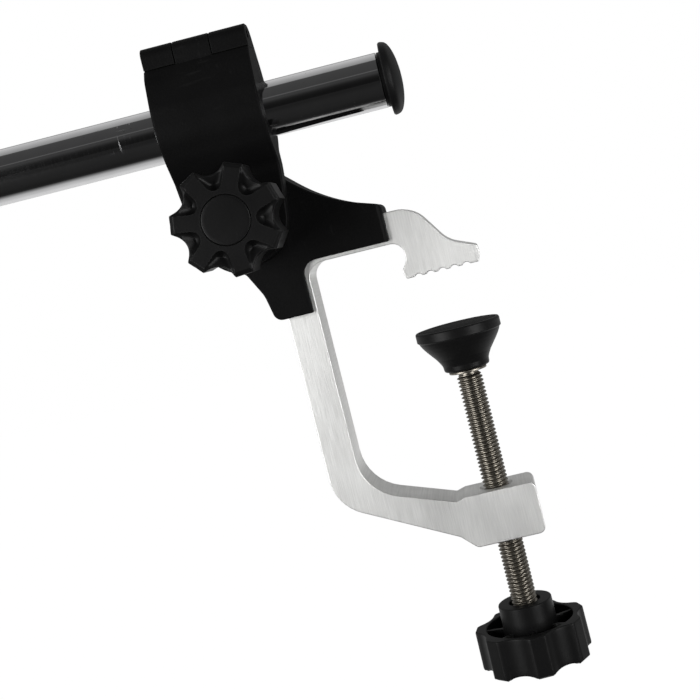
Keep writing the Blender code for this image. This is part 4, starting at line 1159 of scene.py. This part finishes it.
# %% [markdown]
# ## Clamp screw
# The screw is rolled M10 thread, 1.5 mm a turn. Its surface is a helix: the radius depends only on how far a
# point is along its own turn, height over pitch less angle over a full turn. Crests are narrow and flat,
# the flanks run down to a round root. A Screw modifier could sweep one tooth, but this rule also lets the
# thread run out at both ends, and the ball at the top continues the same rings.

# %% Spindle
THREAD_PITCH, THREAD_DEPTH = 1.5, 0.88
CREST_SHARE, FLANK_SHARE, FLANK_CURVE = 0.14, 0.66, 0.35
BALL_Z, BALL_RADIUS, NECK_RADIUS, THREAD_TOP = -31.0, 4.8, 3.7, -40.8
SCREW_COLUMNS, ROWS_PER_TURN = 44, 12
spindle_bottom = box_mm("spindle")[0][2]
screw_angle = full_turn(SCREW_COLUMNS)[None, :]


def thread_rings(low, high):
    """Rings of the thread; both ends run out to the root radius over one millimetre."""
    rows = int((high - low) / THREAD_PITCH * ROWS_PER_TURN) + 1
    height = np.linspace(low, high, rows)[:, None]
    along = np.abs((height / THREAD_PITCH - screw_angle / math.tau) % 1.0 * 2 - 1)
    flank = np.clip((along - CREST_SHARE) / FLANK_SHARE, 0.0, 1.0)
    cut = FLANK_CURVE * smooth_step(0.0, 1.0, flank) + (1 - FLANK_CURVE) * flank
    runout = np.minimum(smooth_step(0.0, 1.0, height - low), smooth_step(0.0, 1.0, high - height))
    radius = CREST_RADIUS - THREAD_DEPTH * np.maximum(cut, 1 - runout)
    return around(radius, height, screw_angle, ORIGIN, "Z")


def ball_arc(radius, start, end, count):
    """Points (radius, height) of an arc about the ball's centre, between two angles above the level."""
    angles = np.radians(np.linspace(start, end, count))
    return [(radius * math.cos(a), BALL_Z + radius * math.sin(a)) for a in angles]


neck_angle = -math.degrees(math.acos(NECK_RADIUS / BALL_RADIUS))
neck = np.array([(NECK_RADIUS, THREAD_TOP + 0.2), *ball_arc(BALL_RADIUS, neck_angle, 66, 16)])
neck_rings = around(neck[:, :1], neck[:, 1:], screw_angle, ORIGIN, "Z")
spindle = skin("spindle_detailed", np.concatenate([thread_rings(spindle_bottom, THREAD_TOP), neck_rings]))
fit_piece(spindle, "spindle")

# %% [markdown]
# ## Foot
# The foot is a shallow cone with a vertical rim, held on the screw's ball by a hidden seat. Its flat pad
# meets the table from below, and a small ring closes its underside. All of it is turned, as on the real
# foot, and the cup and the seat are closed loops, so that the ball's socket is really hollow.

# %% Foot cup
foot_low, foot_high = box_mm("foot_cup")
pad_low, pad_high = box_mm("foot_pad")
RIM_RADIUS, RIM_TOP, CONE_BOTTOM = foot_high[0], pad_high[2], foot_low[2]
RIM_BOTTOM, CUP_FLOOR = RIM_TOP - 4.2, RIM_TOP - 1.7
PAD_ROOM, SOCKET_RADIUS = 14.95, 6.9
# (radius, height) up the cone's hollow side
CONE_CURVE = [
    (8.9, -36.2), (9.5, -34.9), (10.5, -33.2), (11.9, -31.4), (13.4, -29.5), (14.6, -27.8), (15.4, -26.4),
]

cup_profile = [
    (5.8, CONE_BOTTOM), (8.3, CONE_BOTTOM), (8.75, CONE_BOTTOM + 0.5), *CONE_CURVE, (15.7, RIM_BOTTOM),
    (RIM_RADIUS, RIM_BOTTOM + 0.3), (RIM_RADIUS, RIM_TOP - 0.9), (RIM_RADIUS - 0.15, RIM_TOP - 0.45),
    (RIM_RADIUS - 0.5, RIM_TOP - 0.2), (PAD_ROOM, RIM_TOP - 0.2), (PAD_ROOM, CUP_FLOOR),
    (SOCKET_RADIUS, CUP_FLOOR),
]
inside = [(3.0, CUP_FLOOR), (2.13, BALL_Z + 6.56), *ball_arc(SOCKET_RADIUS, 72, -32, 18)[1:]]
cup_loop = np.vstack([eased(cup_profile, 0.25, 3)[:-1], inside])
fit_piece(turned("foot_cup_detailed", cup_loop, ORIGIN, "Z", wrap=True), "foot_cup")

# %% Foot pad, ring and seat
PAD_RADIUS, RIDGE_PITCH, RIDGE_DEPTH = 14.6, 1.4, 0.12
ridge_radius = np.linspace(13.6, 1.0, 91)
ridge_height = RIM_TOP - RIDGE_DEPTH * (0.5 - 0.5 * np.cos(math.tau * ridge_radius / RIDGE_PITCH))
pad_profile = [
    (0.6, pad_low[2]), (PAD_RADIUS, pad_low[2]), (PAD_RADIUS, RIM_TOP - 0.5),
    (PAD_RADIUS - 0.15, RIM_TOP - 0.15), (PAD_RADIUS - 0.5, RIM_TOP), *zip(ridge_radius, ridge_height),
    (0.5, RIM_TOP),
]
fit_piece(turned("foot_pad_detailed", pad_profile, ORIGIN, "Z"), "foot_pad")
ring_piece("foot_retaining_plate", 5.3, "Z", ORIGIN, 0.25)

SEAT_OUTER, SEAT_INNER = 6.6, 4.95
seat_loop = ball_arc(SEAT_OUTER, -27, 65, 20) + ball_arc(SEAT_INNER, 68, -17, 18)
fit_piece(turned("foot_seat_detailed", seat_loop, ORIGIN, "Z", 64, wrap=True), "foot_seat")

# %% [markdown]
# ## Tube and end caps
# A plain chromed tube, its ends deburred, closed by two push-in caps with a short neck and a low dome. A
# cylinder primitive has no wall, so the tube is a small loop, inside, end, outside, end, turned once round.

# %% Tube
tube_low, tube_high = box_mm("tube")
TUBE_LEFT, TUBE_RIGHT, TUBE_RADIUS, TUBE_INNER = tube_low[0], tube_high[0], 10.0, 8.5
tube_loop = [
    (TUBE_INNER, 0.0), (TUBE_INNER, TUBE_LEFT), (TUBE_RADIUS, TUBE_LEFT), (TUBE_RADIUS, TUBE_RIGHT),
    (TUBE_INNER, TUBE_RIGHT), (TUBE_INNER, 0.0),
]
tube = turned("tube_detailed", eased(tube_loop, 0.3)[:-1], (0.0, TUBE_Y, TUBE_Z), "X", 160, wrap=True)
fit_piece(tube, "tube")


# %% End caps
def end_cap(node, end, direction):
    """A ribbed plug inside the tube, a neck just under its outer size, a flange with a soft rim and a low
    dome."""
    ribs = [(8.2 - 0.35 * (k % 2), -7.6 + 0.8 * k) for k in range(9)]
    neck = [(8.2, 0.3), (9.9, 0.3), (9.9, 1.4)]
    rim = [(12.85, 1.5), (13.2, 1.9), (13.25, 2.4), (13.15, 2.9)]
    dome = [(12.9 * math.cos(a) + 0.1, 3.2 + 4.0 * math.sin(a)) for a in np.radians(np.linspace(4, 89, 26))]
    profile = [(7.4, -9.0), (7.9, -8.6), *ribs, *neck, *rim, *dome]
    fit_piece(turned(f"{node}_detailed", profile, (end, TUBE_Y, TUBE_Z), direction, 128), node)


end_cap("near_end_cap", TUBE_RIGHT, "X")
end_cap("far_end_cap", TUBE_LEFT, "-X")
